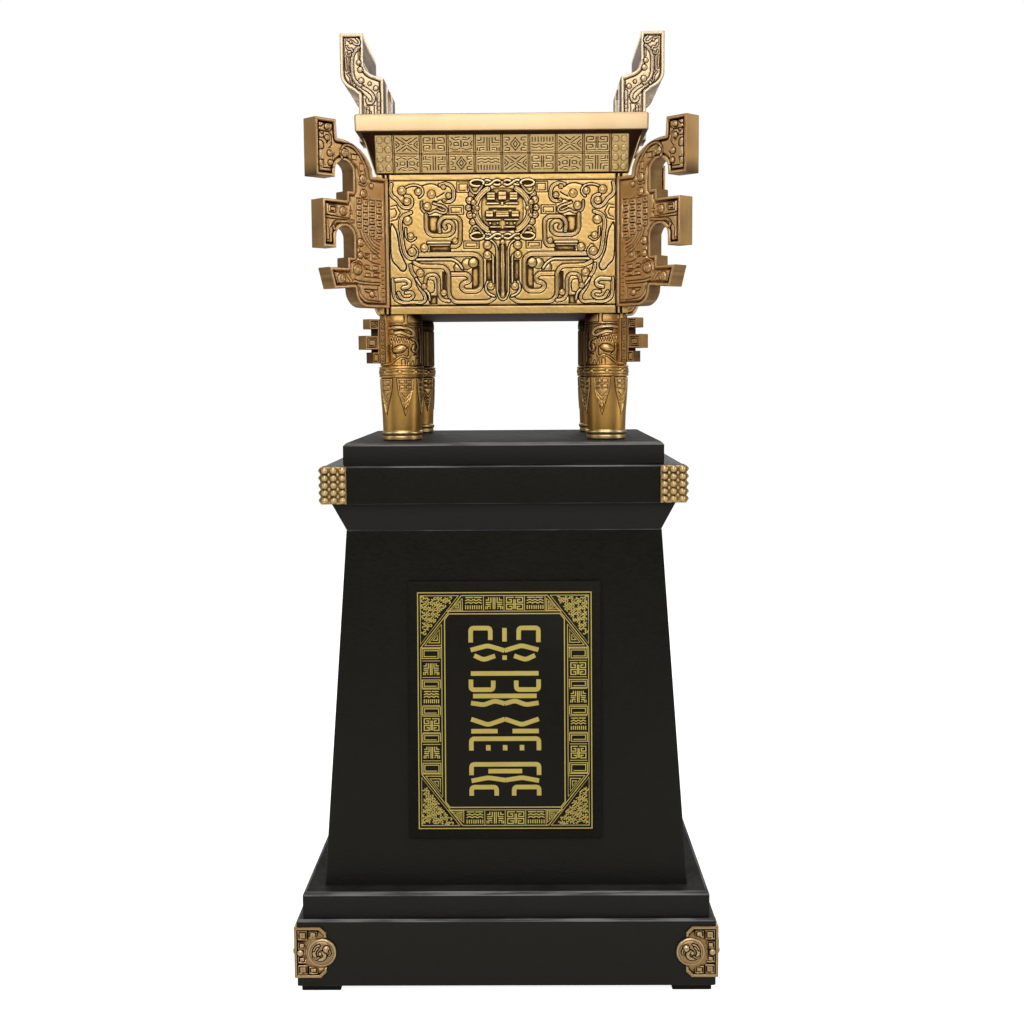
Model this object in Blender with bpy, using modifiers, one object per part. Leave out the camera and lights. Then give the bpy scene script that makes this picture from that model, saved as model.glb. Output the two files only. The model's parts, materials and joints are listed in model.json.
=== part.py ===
"""A square bronze ding with four legs, on a tapered pedestal of black lacquered wood.

Lengths are in metres and +Z is up. The front faces -Y, and the origin is on the floor
under the middle of the pedestal. The ding is one casting, so it is one object.
"""

import math

import bmesh
import bpy
from mathutils import Matrix, Vector

MM = 0.001
GAP = 0.3 * MM  # left between pieces that touch
CORNERS = ((-1, -1), (1, -1), (1, 1), (-1, 1))

# Pedestal: half widths of its square tiers, and the heights of their tops
FOOT_TOP, FOOT_SIDE, FOOT_INSET = 0.009, 0.060, 0.006
PLINTH_HALF, PLINTH_TOP = 0.3205, 0.108
STEP_HALF, STEP_TOP = 0.3115, 0.150
COLUMN_HALF_LOW, COLUMN_HALF_HIGH, COLUMN_TOP = 0.281, 0.243, 0.7035
MOULDING_HALF_HIGH, MOULDING_TOP = 0.262, 0.7465
CAP_HALF, CAP_TOP = 0.2745, 0.804
SLAB_HALF, SLAB_TOP = 0.246, 0.838
EDGE_ROUND = 0.006  # softened top edges of the tiers

# Board and plaque on the leaning front of the column
BOARD_WIDTH, BOARD_HEIGHT, BOARD_THICK, BOARD_MIDDLE_Z = 0.298, 0.398, 0.006, 0.426
PLAQUE_WIDTH, PLAQUE_HEIGHT, PLAQUE_THICK = 0.269, 0.367, 0.002

# Brass corner fittings
CAP_MOUNT_WIDTH, CAP_MOUNT_THICK = 0.040, 0.0022
STUD_ROWS, STUD_COLUMNS, STUD_RADIUS, STUD_HEIGHT = 5, 3, 0.0046, 0.0034
PLINTH_MOUNT_WIDTH, PLINTH_MOUNT_HEIGHT, PLINTH_MOUNT_THICK = 0.048, 0.080, 0.003
PLINTH_MOUNT_MIDDLE_Z = 0.060
PLINTH_MOUNT_CUT = 0.009  # the cut corners on its inner edge
DISC_RADIUS, DISC_HEIGHT, DISC_FROM_EDGE = 0.0217, 0.008, 0.0385
BUTTON_RADIUS, BUTTON_HEIGHT, BUTTON_FROM_EDGE = 0.005, 0.004, 0.009

# Ding: body, with a sunk field for the relief in each wall
BODY_HALF_X, BODY_HALF_Y = 0.195, 0.178
BODY_BOTTOM, BODY_TOP = 1.0363, 1.2496
WALL, FLOOR_THICK = 0.010, 0.012
FIELD_BOTTOM, FIELD_TOP, FIELD_DEPTH = 1.0495, 1.2407, 0.004
FIELD_MARGIN = 0.0185  # beside the field, where a corner flange grows out of the wall

# Ding: neck and rim
NECK_WAIST, NECK_SET_BACK, NECK_FLARE = 1.262, 0.003, 0.021
RIM_BOTTOM, RIM_TOP, RIM_ROUND = 1.3107, 1.338, 0.004
RIM_HALF_X, RIM_HALF_Y = 0.2245, 0.2075
FRIEZE_BOTTOM, FRIEZE_TOP = 1.2525, 1.3065
FRIEZE_OUT_LOW, FRIEZE_OUT_HIGH = 0.002, 0.0195  # its face, out from the body's wall
FRIEZE_CELLS, FRIEZE_STUD_ROWS, FRIEZE_STUD_WIDTH = 8, 4, 0.029
FRIEZE_RIB_HALF, FRIEZE_STUD_OFFSET, FRIEZE_STUD_RADIUS = 0.0011, 0.0065, 0.0055

# Ding: ears, S-curved bands with an opening
EAR_INNER_LOW, EAR_OUTER_LOW = 0.189, 0.229
EAR_INNER_HIGH, EAR_OUTER_HIGH, EAR_TOP = 0.2205, 0.258, 1.482
EAR_FOOT = 1.3125
EAR_HALF_DEPTH, EAR_OPENING_HALF, EAR_OPENING_TOP = 0.100, 0.036, 1.412
EAR_OUTER_BEND = (0.028, 0.027, 1.4200, 1.3865)  # radii, height of its centre, height below it
EAR_INNER_BEND = (0.021, 0.021, 1.4375, 1.4115)
EAR_BORDER, EAR_SUNK, EAR_ARCH = 0.005, 0.002, 0.012

# Ding: corner flanges, plates on the diagonals with three hooks and two arched notches.
# Distances go out from the corner of the body.
FLANGE_THICK, FLANGE_ROOT = 0.025, -0.0135
HOOKS = (  # outer end above, outer end below, top, bottom
    (0.1225, 0.1225, 1.3226, 1.2380),
    (0.1115, 0.1115, 1.2050, 1.1333),
    (0.1015, 0.0925, 1.1040, 1.0720),
)
SCROLL_NEAR, SCROLL_OUT, SCROLL_CROWN = 0.0165, 0.083, 1.2952
NOTCH_NEAR, NOTCH_FAR, LEDGE = 0.0545, 0.0880, 0.0665
NOTCHES = ((1.2190, 1.2635), (1.1200, 1.1665))  # floor and crown
BELLY_NEAR, BELLY_FAR, BELLY_TOP, BELLY_BOTTOM = 0.029, 0.053, 1.0740, 1.0455
FLANGE_BORDER, FLANGE_SUNK = 0.0045, 0.002
FLANGE_BOSSES = (  # out, height, radius
    (0.035, 1.2225, 0.0065), (0.0705, 1.2780, 0.0070), (0.0745, 1.1914, 0.0070),
    (0.044, 1.1480, 0.0060), (0.050, 1.1059, 0.0080), (0.0800, 1.0890, 0.0075),
)

# Ding: legs, turned about their own axes, with a toothed flange on the outward diagonal
LEG_X, LEG_Y, LEG_SIDES = 0.1626, 0.1450, 12
LEG_PROFILE = (  # radius in millimetres, height above the slab in millimetres
    (32, 204), (34, 190), (34, 117), (35.6, 115), (35.6, 101), (33.2, 98),
    (30.8, 16), (32.6, 14), (32.6, 10), (31, 8), (31, 0),
)
LEG_FLANGE_THICK, LEG_FLANGE_ROOT, LEG_NOTCH = 0.018, 0.024, 0.0546
LEG_TEETH = ((0.0703, 1.0280, 1.0126), (0.0796, 1.0023, 0.9809), (0.0642, 0.9768, 0.9597))
LEG_BLADES, LEG_BLADE_TOP, LEG_BLADE_TIP, LEG_BLADE_HALF = 8, 0.937, 0.878, 0.0095
LEG_SHAFT = 0.033  # the radius that its relief is wrapped round
EYE_TURN, EYE_HEIGHT, EYE_RADIUS = 45, 0.983, 0.008  # degrees from the flange
BROW, BROW_WIDTH = ((0.014, 0.998), (0.042, 1.004)), 0.006

# Relief of a body wall: one half, mirrored about the middle line.
# Places are millimetres from the middle line and up from the bottom of the field.
PANEL_HALF = 176.5
RIBBONS = (  # width, then the path, the longest bands of the dragon first
    (9, (138, 74.7), (44, 74.7), (34.5, 66), (34.5, 30), (42, 22.5), (59, 22.5), (66, 31), (55, 40)),
    (6, (147, 139), (159.5, 130), (158.5, 105), (153, 79), (144, 70), (134, 77)),
    (6, (142, 67), (128, 58), (92, 58), (83.5, 49), (83.5, 15), (75, 7), (20, 7), (14, 16)),
    (5, (173, 48), (168, 10), (157, 4), (140, 4.5), (137, 15), (150, 17)),
    (5, (119, 138), (118.5, 115), (112, 108), (80, 108), (71.5, 115), (71.5, 127), (90, 129), (94, 120)),
    (5, (94, 136.5), (66, 136.5), (61.5, 130), (63, 96), (71, 89), (79, 93)),
    (5, (120.5, 37), (117.5, 47), (102, 47), (98, 42), (98, 15), (90, 9)),
    (5, (128, 182), (150, 186), (166, 186), (172, 172), (160, 161), (148, 149)),
    (5, (97, 184), (88, 188), (77, 186), (74, 172), (80, 160)),
    (5, (123, 157), (123.5, 145), (115, 140.5), (102, 146.5), (90, 143)),
    (6, (138, 44), (135, 25), (121, 11)),
    (4, (11.5, 95), (11.5, 12)),
)
BOSSES = (  # across, up, radius, the largest first
    (156, 175.5, 7), (147.4, 130, 6.7), (140.5, 84, 6.3), (66, 60, 8), (110, 171, 6.3),
    (118, 151.5, 6), (23.5, 92.7, 6.3), (128, 49.5, 6), (147.4, 161, 6.3), (128, 173, 5.5),
    (143.5, 106, 5.2), (72, 99.5, 6), (122, 88.5, 6.3), (23.5, 78, 6.3), (19.5, 27, 5.7),
    (91.5, 19.5, 4.8), (122, 27, 4.5),
)
HEAD = ((120, 168), (117, 181), (100, 184), (89, 174), (90, 164), (104, 158))
SPIKE = ((173, 123), (165, 120), (155.5, 66), (162, 53), (173, 53))
BLADE_HALF, BLADE_LOW, BLADE_HIGH = 6, 11, 96
MEDALLION_UP, MEDALLION_ACROSS, MEDALLION_TALL = 146, 45, 38
MEDALLION_BAND, MEDALLION_ROWS = 11, 4
MEDALLION_BOSS, MEDALLION_BOSS_ACROSS, MEDALLION_BOSS_TALL = 9, 43, 39
STROKE_LONG, STROKE_SPACING, STROKE_ROW_SPACING, STROKE_TALL = 32, 42, 11, 4
PLAIN_RIBBONS, PLAIN_BOSSES = 2, 3  # how many of each the sides and the back carry

BRONZE = ("bronze_gilt", (0.52, 0.34, 0.10), 0.34, 1.0)
BRASS = ("brass_antique", (0.40, 0.25, 0.09), 0.40, 1.0)
LACQUER = ("lacquer_black", (0.012, 0.011, 0.010), 0.38, 0.0)
PLAQUE_BLACK = ("plaque_black", (0.010, 0.010, 0.012), 0.25, 0.0)


# Scene helpers


def clear_scene():
    for thing in list(bpy.data.objects):
        bpy.data.objects.remove(thing, do_unlink=True)


def make_collection(name):
    found = bpy.data.collections.new(name)
    bpy.context.scene.collection.children.link(found)
    return found


def make_material(name, colour, roughness, metallic):
    found = bpy.data.materials.get(name) or bpy.data.materials.new(name)
    found.use_nodes = True
    found.diffuse_color = (*colour, 1.0)
    shader = found.node_tree.nodes["Principled BSDF"]
    shader.inputs["Base Color"].default_value = (*colour, 1.0)
    shader.inputs["Roughness"].default_value = roughness
    shader.inputs["Metallic"].default_value = metallic
    return found


def make_mesh(name, form):
    """Mesh data from a bmesh, with every face pointing out."""
    bmesh.ops.recalc_face_normals(form, faces=form.faces[:])
    mesh = bpy.data.meshes.new(name)
    form.to_mesh(mesh)
    form.free()
    return mesh


def make_piece(name, mesh, collection, finish, matrix=None):
    """A visible piece of the object."""
    if not mesh.materials:
        mesh.materials.append(make_material(*finish))
    found = bpy.data.objects.new(name, mesh)
    found.matrix_world = matrix or Matrix()
    collection.objects.link(found)
    return found


def make_helper(name, mesh, collection, matrix=None):
    """An object that only cuts another or is cast on to it."""
    found = bpy.data.objects.new(name, mesh)
    found.matrix_world = matrix or Matrix()
    found.hide_render = True
    found.display_type = "WIRE"
    collection.objects.link(found)
    return found


def add_boolean(target, name, operation, operand):
    modifier = target.modifiers.new(name, "BOOLEAN")
    modifier.operation = operation
    modifier.solver = "EXACT"
    modifier.use_self = operation == "UNION"
    if isinstance(operand, bpy.types.Collection):
        modifier.operand_type = "COLLECTION"
        modifier.collection = operand
    else:
        modifier.object = operand


def wall_matrix(turn, distance, height, lean=0.0):
    """Local X runs right along a wall, Y up it and Z out of it; turn 0 is the front wall."""
    return (
        Matrix.Rotation(math.radians(turn), 4, "Z")
        @ Matrix.Translation((0, -distance, height))
        @ Matrix.Rotation(math.radians(90) + lean, 4, "X")
    )


def diagonal_matrix(x, y):
    """Local X runs outwards on the diagonal through this corner, Y up and Z across."""
    angle = math.atan2(math.copysign(1, y), math.copysign(1, x))
    turn = Matrix.Rotation(angle, 4, "Z")
    return Matrix.Translation((x, y, 0)) @ turn @ Matrix.Rotation(math.radians(90), 4, "X")


def walls():
    """Turn, distance from the middle and half width of the four walls, front first."""
    return (
        (0, BODY_HALF_Y, BODY_HALF_X), (90, BODY_HALF_X, BODY_HALF_Y),
        (180, BODY_HALF_Y, BODY_HALF_X), (270, BODY_HALF_X, BODY_HALF_Y),
    )


# Forms


def arc(centre, radius_x, radius_y, start, end, steps):
    """Points on an elliptical arc, both ends included; the angles are in degrees."""
    found = []
    for i in range(steps + 1):
        angle = math.radians(start + (end - start) * i / steps)
        found.append((centre[0] + radius_x * math.cos(angle), centre[1] + radius_y * math.sin(angle)))
    return found


def add_levels(form, levels):
    """A stack of rectangles joined into a closed form; a level is (height, half x, half y)."""
    rings = []
    for height, half_x, half_y in levels:
        rings.append([form.verts.new((x * half_x, y * half_y, height)) for x, y in CORNERS])
    for low, high in zip(rings, rings[1:]):
        for i in range(4):
            j = (i + 1) % 4
            form.faces.new((low[i], low[j], high[j], high[i]))
    form.faces.new(reversed(rings[0]))
    form.faces.new(rings[-1])


def add_box(form, low, high):
    """A box between two opposite corners."""
    size = Vector(high) - Vector(low)
    matrix = Matrix.Translation((Vector(low) + Vector(high)) / 2) @ Matrix.Diagonal((*size, 1))
    bmesh.ops.create_cube(form, size=1, matrix=matrix)


def add_prism(form, outline, low, high):
    """An upright prism on a flat outline."""
    face = form.faces.new([form.verts.new((x, y, low)) for x, y in outline])
    grown = bmesh.ops.extrude_face_region(form, geom=[face])["geom"]
    verts = [item for item in grown if isinstance(item, bmesh.types.BMVert)]
    bmesh.ops.translate(form, vec=(0, 0, high - low), verts=verts)


def add_boss(form, x, y, radius, low, high, sides=5):
    """A low knob that rises to a blunt point."""
    bmesh.ops.create_cone(
        form, cap_ends=True, segments=sides, radius1=radius, radius2=0,
        depth=high - low, matrix=Matrix.Translation((x, y, (low + high) / 2)),
    )


def ribbon_outline(path, width):
    """The outline of a flat ribbon, mitred at each turn of its path."""
    points = [Vector(point) for point in path]
    left, right = [], []
    for i, point in enumerate(points):
        before = (point - points[i - 1]).normalized() if i else None
        after = (points[i + 1] - point).normalized() if i + 1 < len(points) else None
        one, two = before or after, after or before
        along = (one + two).normalized()
        across = Vector((-along.y, along.x))
        reach = width / 2 / max(0.6, across.dot(Vector((-one.y, one.x))))
        left.append(point + across * reach)
        right.append(point - across * reach)
    return left + right[::-1]


# Relief of the walls and of the neck


def add_half_panel(form, side, stretch, low, high, ribbons, bosses):
    """Dragon and corner scrolls on one side of the middle line."""

    def place(point):
        return side * stretch * point[0] * MM, point[1] * MM

    for width, *path in ribbons:
        add_prism(form, ribbon_outline(map(place, path), width * MM), low, high)
    for across, up, radius in bosses:
        add_boss(form, *place((across, up)), radius * 1.3 * MM, low, high + 2.2 * MM)
    for outline in (HEAD, SPIKE):
        add_prism(form, [place(point) for point in outline], low, high - 1 * MM)


def add_medallion(form, low, high, rows):
    """Oval ring with a boss at each diagonal; the front's has rows of short strokes inside."""
    middle = (0, MEDALLION_UP * MM)
    rings = []
    for grow, height in ((0, low), (0, high), (-MEDALLION_BAND, high), (-MEDALLION_BAND, low)):
        radii = ((MEDALLION_ACROSS + grow) * MM, (MEDALLION_TALL + grow) * MM)
        points = arc(middle, *radii, 0, 360, 14)[:-1]
        rings.append([form.verts.new((x, y, height)) for x, y in points])
    for ring, following in zip(rings, rings[1:] + rings[:1]):
        for i, vert in enumerate(ring):
            j = (i + 1) % len(ring)
            form.faces.new((vert, ring[j], following[j], following[i]))
    for angle in (45, 135, 225, 315):
        x, y = arc(middle, MEDALLION_BOSS_ACROSS * MM, MEDALLION_BOSS_TALL * MM, angle, angle, 1)[0]
        add_boss(form, x, y, MEDALLION_BOSS * MM, low, high + 2 * MM)
    for row in range(rows):
        count = 1 + row % 2
        half, pitch = STROKE_LONG / 2 * MM / count, STROKE_SPACING * MM / count
        y = middle[1] + ((rows - 1) / 2 - row) * STROKE_ROW_SPACING * MM
        for i in range(count):
            x = (i - (count - 1) / 2) * pitch
            low_corner = (x - half, y - STROKE_TALL / 2 * MM, low)
            add_box(form, low_corner, (x + half, y + STROKE_TALL / 2 * MM, high - 1.5 * MM))


def panel_form(half_width, ribbons, bosses, stroke_rows):
    """The relief of one wall, from below the floor of its sunk field."""
    form = bmesh.new()
    low, high = -FIELD_DEPTH - 1.5 * MM, -0.4 * MM
    for side in (-1, 1):
        add_half_panel(form, side, half_width / (PANEL_HALF * MM), low, high, ribbons, bosses)
    add_medallion(form, low, high + 0.8 * MM, stroke_rows)
    blade = [(0, BLADE_LOW), (BLADE_HALF, BLADE_LOW + 8), (BLADE_HALF, BLADE_HIGH)]
    outline = blade + [(-x, y) for x, y in reversed(blade[1:])]
    add_prism(form, [(x * MM, y * MM) for x, y in outline], low, high)
    return form


def frieze_form(half_width, tall, stud_rows):
    """Tablet of the neck: ribbed cells, and on the front studs at both ends."""
    form = bmesh.new()
    face, back, rib = 0, -8 * MM, 2 * MM
    add_box(form, (-half_width, 0, back), (half_width, tall, face))
    cells_half = half_width - FRIEZE_STUD_WIDTH
    pitch = 2 * cells_half / FRIEZE_CELLS
    for i in range(FRIEZE_CELLS + 1):
        x = i * pitch - cells_half
        low = (x - FRIEZE_RIB_HALF, 0.5 * MM, face - 1 * MM)
        add_box(form, low, (x + FRIEZE_RIB_HALF, tall - 0.5 * MM, rib))
    for side in (-1, 1):
        for column in (-1, 1):
            for row in range(stud_rows):
                x = side * (half_width - FRIEZE_STUD_WIDTH / 2 + column * FRIEZE_STUD_OFFSET)
                y = tall * (row + 0.5) / stud_rows
                add_boss(form, x, y, FRIEZE_STUD_RADIUS, face - 1 * MM, face + 3 * MM, sides=4)
    return form


def make_wall_reliefs(collection):
    """The front carries the full carving; the sides and the back are plainer."""
    tall = FRIEZE_TOP - FRIEZE_BOTTOM
    lean = math.atan2(FRIEZE_OUT_HIGH - FRIEZE_OUT_LOW, tall)
    for i, (turn, distance, half_width) in enumerate(walls()):
        if turn == 0:
            carving, stud_rows = (RIBBONS, BOSSES, MEDALLION_ROWS), FRIEZE_STUD_ROWS
        else:
            carving, stud_rows = (RIBBONS[:PLAIN_RIBBONS], BOSSES[:PLAIN_BOSSES], 0), 0
        form = panel_form(half_width - FIELD_MARGIN, *carving)
        matrix = wall_matrix(turn, distance, FIELD_BOTTOM)
        make_helper(f"panel_relief_{i + 1}", make_mesh("panel_relief", form), collection, matrix)
        form = frieze_form(half_width + 1 * MM, tall / math.cos(lean), stud_rows)
        matrix = wall_matrix(turn, distance + FRIEZE_OUT_LOW, FRIEZE_BOTTOM, lean)
        make_helper(f"neck_frieze_{i + 1}", make_mesh("neck_frieze", form), collection, matrix)


# Castings that stand out from the body


def plate_form(outline, thick, border=0.0, sunk=0.0):
    """A plate on a flat outline; a border frames a sunk field on both of its faces."""
    form = bmesh.new()
    add_prism(form, outline, -thick / 2, thick / 2)
    bmesh.ops.recalc_face_normals(form, faces=form.faces[:])
    if border:
        sides = [face for face in form.faces if len(face.verts) == len(outline)]
        bmesh.ops.inset_individual(form, faces=sides, thickness=border, depth=-sunk, use_even_offset=True)
    return form


def flange_outline():
    """Outline of a corner flange: out from the corner of the body, and height."""
    shoulder = BODY_TOP - 5 * MM
    points = [(FLANGE_ROOT, shoulder)]
    points += arc((SCROLL_OUT, shoulder), SCROLL_OUT - SCROLL_NEAR, SCROLL_CROWN - shoulder, 180, 90, 5)
    (tip, _, top, low), *lower_hooks = HOOKS
    points += [(SCROLL_OUT + 2 * MM, top), (tip, top), (tip, low)]
    middle, radius = (NOTCH_NEAR + NOTCH_FAR) / 2, (NOTCH_FAR - NOTCH_NEAR) / 2
    for (floor, crown), (tip, toe, top, next_low) in zip(NOTCHES, lower_hooks):
        points.append((NOTCH_FAR, low))
        points += arc((middle, crown - radius), radius, radius, 0, 180, 5)
        points += [(NOTCH_NEAR, floor), (LEDGE, floor), (LEDGE, top), (tip, top), (toe, next_low)]
        low = next_low
    points.append((BELLY_FAR, low + 3 * MM))
    belly = (BELLY_FAR - BELLY_NEAR, BELLY_TOP - BELLY_BOTTOM)
    points += arc((BELLY_NEAR, BELLY_TOP), *belly, -15, -90, 3)
    return points + [(FLANGE_ROOT, BELLY_BOTTOM)]


def make_flanges(collection):
    form = plate_form(flange_outline(), FLANGE_THICK, FLANGE_BORDER, FLANGE_SUNK)
    field = FLANGE_THICK / 2 - FLANGE_SUNK
    for out, height, radius in FLANGE_BOSSES:
        for side in (-1, 1):
            add_boss(form, out, height, 1.2 * radius, side * (field - 2 * MM), side * (field + 3 * MM))
    mesh = make_mesh("corner_flange", form)
    for i, (side_x, side_y) in enumerate(CORNERS):
        matrix = diagonal_matrix(side_x * BODY_HALF_X, side_y * BODY_HALF_Y)
        make_helper(f"corner_flange_{i + 1}", mesh, collection, matrix)


def ear_outline():
    """Side view of an ear: out from the middle of the ding, and height."""
    reach, rise, middle, below = EAR_OUTER_BEND
    outer = [(EAR_OUTER_LOW, EAR_FOOT), (EAR_OUTER_LOW, below)]
    outer += arc((EAR_OUTER_HIGH - reach, middle), reach, rise, -70, 0, 3)
    outer += [(EAR_OUTER_HIGH, EAR_TOP - 3 * MM), (EAR_OUTER_HIGH - 2 * MM, EAR_TOP)]
    reach, rise, middle, below = EAR_INNER_BEND
    inner = [(EAR_INNER_HIGH, EAR_TOP)]
    inner += arc((EAR_INNER_HIGH - reach, middle), reach, rise, 0, -70, 3)
    inner += [(EAR_INNER_LOW, below), (EAR_INNER_LOW, EAR_FOOT)]
    return outer + inner


def make_ears(collection, cutters):
    opening = bmesh.new()
    arch = arc((0, EAR_OPENING_TOP - EAR_ARCH), EAR_OPENING_HALF, EAR_ARCH, 0, 180, 6)
    below = EAR_FOOT - 10 * MM
    outline = [(EAR_OPENING_HALF, below), *arch, (-EAR_OPENING_HALF, below)]
    add_prism(opening, outline, -1.2 * EAR_OUTER_HIGH, 1.2 * EAR_OUTER_HIGH)
    turn = wall_matrix(90, 0, 0)
    cutter = make_helper("ear_opening", make_mesh("ear_opening", opening), cutters, turn)
    form = plate_form(ear_outline(), 2 * EAR_HALF_DEPTH, EAR_BORDER, EAR_SUNK)
    mesh = make_mesh("ear", form)
    for side, angle in (("right", 0), ("left", 180)):
        matrix = Matrix.Rotation(math.radians(angle), 4, "Z") @ Matrix.Rotation(math.radians(90), 4, "X")
        ear = make_helper(f"ear_{side}", mesh, collection, matrix)
        add_boolean(ear, "opening", "DIFFERENCE", cutter)


def leg_mesh():
    """The turned profile of a leg, from the axis at the top to the axis at the foot."""
    form = bmesh.new()
    base = SLAB_TOP + GAP
    points = [(0, LEG_PROFILE[0][1]), *LEG_PROFILE, (0, LEG_PROFILE[-1][1])]
    verts = [form.verts.new((radius * MM, 0, base + height * MM)) for radius, height in points]
    for upper, lower in zip(verts, verts[1:]):
        form.edges.new((upper, lower))
    mesh = bpy.data.meshes.new("leg")
    form.to_mesh(mesh)
    form.free()
    return mesh


def leg_relief_form():
    """Blades, brows and eyes of a leg; local X runs round it from the outward diagonal."""
    form = bmesh.new()
    for i in range(LEG_BLADES):
        x = i * math.tau * LEG_SHAFT / LEG_BLADES
        outline = [(x - LEG_BLADE_HALF, LEG_BLADE_TOP), (x, LEG_BLADE_TIP)]
        outline.append((x + LEG_BLADE_HALF, LEG_BLADE_TOP))
        add_prism(form, outline, -4 * MM, 1.6 * MM)
    for side in (-1, 1):
        eye = math.radians(EYE_TURN) * LEG_SHAFT * side
        add_boss(form, eye, EYE_HEIGHT, EYE_RADIUS, -1 * MM, 4 * MM)
        brow = [(side * along, height) for along, height in BROW]
        add_prism(form, ribbon_outline(brow, BROW_WIDTH), -2 * MM, 3 * MM)
    for vert in form.verts:
        radius, angle = LEG_SHAFT + vert.co.z, vert.co.x / LEG_SHAFT
        vert.co = (radius * math.cos(angle), radius * math.sin(angle), vert.co.y)
    return form


def leg_flange_outline():
    """Outline of a leg's toothed flange: out from the leg's axis, and height."""
    teeth = []
    for tip, top, low in LEG_TEETH:
        teeth += [(LEG_NOTCH, top), (tip, top), (tip, low), (LEG_NOTCH, low)]
    return [(LEG_FLANGE_ROOT, LEG_TEETH[0][1]), *teeth[1:-1], (LEG_FLANGE_ROOT, LEG_TEETH[-1][2])]


def make_legs(collection):
    turned = leg_mesh()
    relief = make_mesh("leg_relief", leg_relief_form())
    flange = make_mesh("leg_flange", plate_form(leg_flange_outline(), LEG_FLANGE_THICK))
    for i, (side_x, side_y) in enumerate(CORNERS):
        x, y = side_x * LEG_X, side_y * LEG_Y
        out = Matrix.Rotation(math.atan2(side_y, side_x), 4, "Z")
        shaft = make_helper(f"leg_{i + 1}", turned, collection, Matrix.Translation((x, y, 0)) @ out)
        screw = shaft.modifiers.new("turned", "SCREW")
        screw.steps = screw.render_steps = LEG_SIDES
        screw.use_merge_vertices = True
        screw.merge_threshold = 0.0001
        make_helper(f"leg_relief_{i + 1}", relief, collection, shaft.matrix_world.copy())
        make_helper(f"leg_flange_{i + 1}", flange, collection, diagonal_matrix(x, y))


def make_ding(collection, castings, cutters):
    """The hollow casting: outer form, what is cast on to it, then the inside cut out."""
    form = bmesh.new()
    waist_x, waist_y = BODY_HALF_X - NECK_SET_BACK, BODY_HALF_Y - NECK_SET_BACK
    add_levels(form, (
        (BODY_BOTTOM, BODY_HALF_X, BODY_HALF_Y),
        (BODY_TOP, BODY_HALF_X, BODY_HALF_Y),
        (BODY_TOP + 1 * MM, waist_x, waist_y),
        (NECK_WAIST, waist_x, waist_y),
        (RIM_BOTTOM, BODY_HALF_X + NECK_FLARE, BODY_HALF_Y + NECK_FLARE),
        (RIM_BOTTOM, RIM_HALF_X - RIM_ROUND, RIM_HALF_Y - RIM_ROUND),
        (RIM_BOTTOM + RIM_ROUND, RIM_HALF_X, RIM_HALF_Y),
        (RIM_TOP - RIM_ROUND, RIM_HALF_X, RIM_HALF_Y),
        (RIM_TOP, RIM_HALF_X - RIM_ROUND, RIM_HALF_Y - RIM_ROUND),
    ))
    vessel = make_piece("ding_vessel", make_mesh("ding_vessel", form), collection, BRONZE)
    fields = make_collection("field_cutters")
    for i, (turn, distance, half_width) in enumerate(walls()):
        field = bmesh.new()
        half = half_width - FIELD_MARGIN
        add_box(field, (-half, 0, -FIELD_DEPTH), (half, FIELD_TOP - FIELD_BOTTOM, 0.01))
        matrix = wall_matrix(turn, distance, FIELD_BOTTOM)
        make_helper(f"field_{i + 1}", make_mesh("field", field), fields, matrix)
    make_wall_reliefs(castings)
    make_flanges(castings)
    make_ears(castings, cutters)
    make_legs(castings)
    inside = bmesh.new()
    floor = BODY_BOTTOM + FLOOR_THICK
    inner = (BODY_HALF_X - WALL, BODY_HALF_Y - WALL)
    add_levels(inside, ((floor, *inner), (RIM_TOP + 0.01, *inner)))
    cavity = make_helper("inside", make_mesh("inside", inside), cutters)
    add_boolean(vessel, "fields", "DIFFERENCE", fields)
    add_boolean(vessel, "castings", "UNION", castings)
    add_boolean(vessel, "inside", "DIFFERENCE", cavity)


# Pedestal


def tier_mesh(name, low, high, half_low, half_high, round_top):
    """A square block, its top edges softened where they show."""
    form = bmesh.new()
    levels = [(low, half_low, half_low)]
    if round_top:
        for angle in (0, 35, 90):
            drop = EDGE_ROUND * (1 - math.sin(math.radians(angle)))
            back = EDGE_ROUND * (1 - math.cos(math.radians(angle)))
            levels.append((high - drop, half_high - back, half_high - back))
    else:
        levels.append((high, half_high, half_high))
    add_levels(form, levels)
    return make_mesh(name, form)


def make_pedestal(collection):
    tiers = (  # name, top of the tier below, own top, half widths, softened or not
        ("pedestal_plinth", FOOT_TOP, PLINTH_TOP, PLINTH_HALF, PLINTH_HALF, True),
        ("pedestal_base_step", PLINTH_TOP, STEP_TOP, STEP_HALF, STEP_HALF, True),
        ("pedestal_column", STEP_TOP, COLUMN_TOP, COLUMN_HALF_LOW, COLUMN_HALF_HIGH, False),
        ("pedestal_neck_moulding", COLUMN_TOP, MOULDING_TOP, COLUMN_HALF_HIGH, MOULDING_HALF_HIGH, False),
        ("pedestal_cap", MOULDING_TOP, CAP_TOP, CAP_HALF, CAP_HALF, False),
        ("pedestal_top_slab", CAP_TOP, SLAB_TOP, SLAB_HALF, SLAB_HALF, True),
    )
    for name, below, top, half_low, half_high, softened in tiers:
        mesh = tier_mesh(name, below + GAP, top, half_low, half_high, softened)
        make_piece(name, mesh, collection, LACQUER)
    foot = bmesh.new()
    half = FOOT_SIDE / 2
    add_levels(foot, ((0, half, half), (FOOT_TOP, half, half)))
    mesh = make_mesh("pedestal_foot", foot)
    offset = PLINTH_HALF - FOOT_INSET - half
    for i, (side_x, side_y) in enumerate(CORNERS):
        matrix = Matrix.Translation((side_x * offset, side_y * offset, 0))
        make_piece(f"pedestal_foot_{i + 1}", mesh, collection, LACQUER, matrix)


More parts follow.
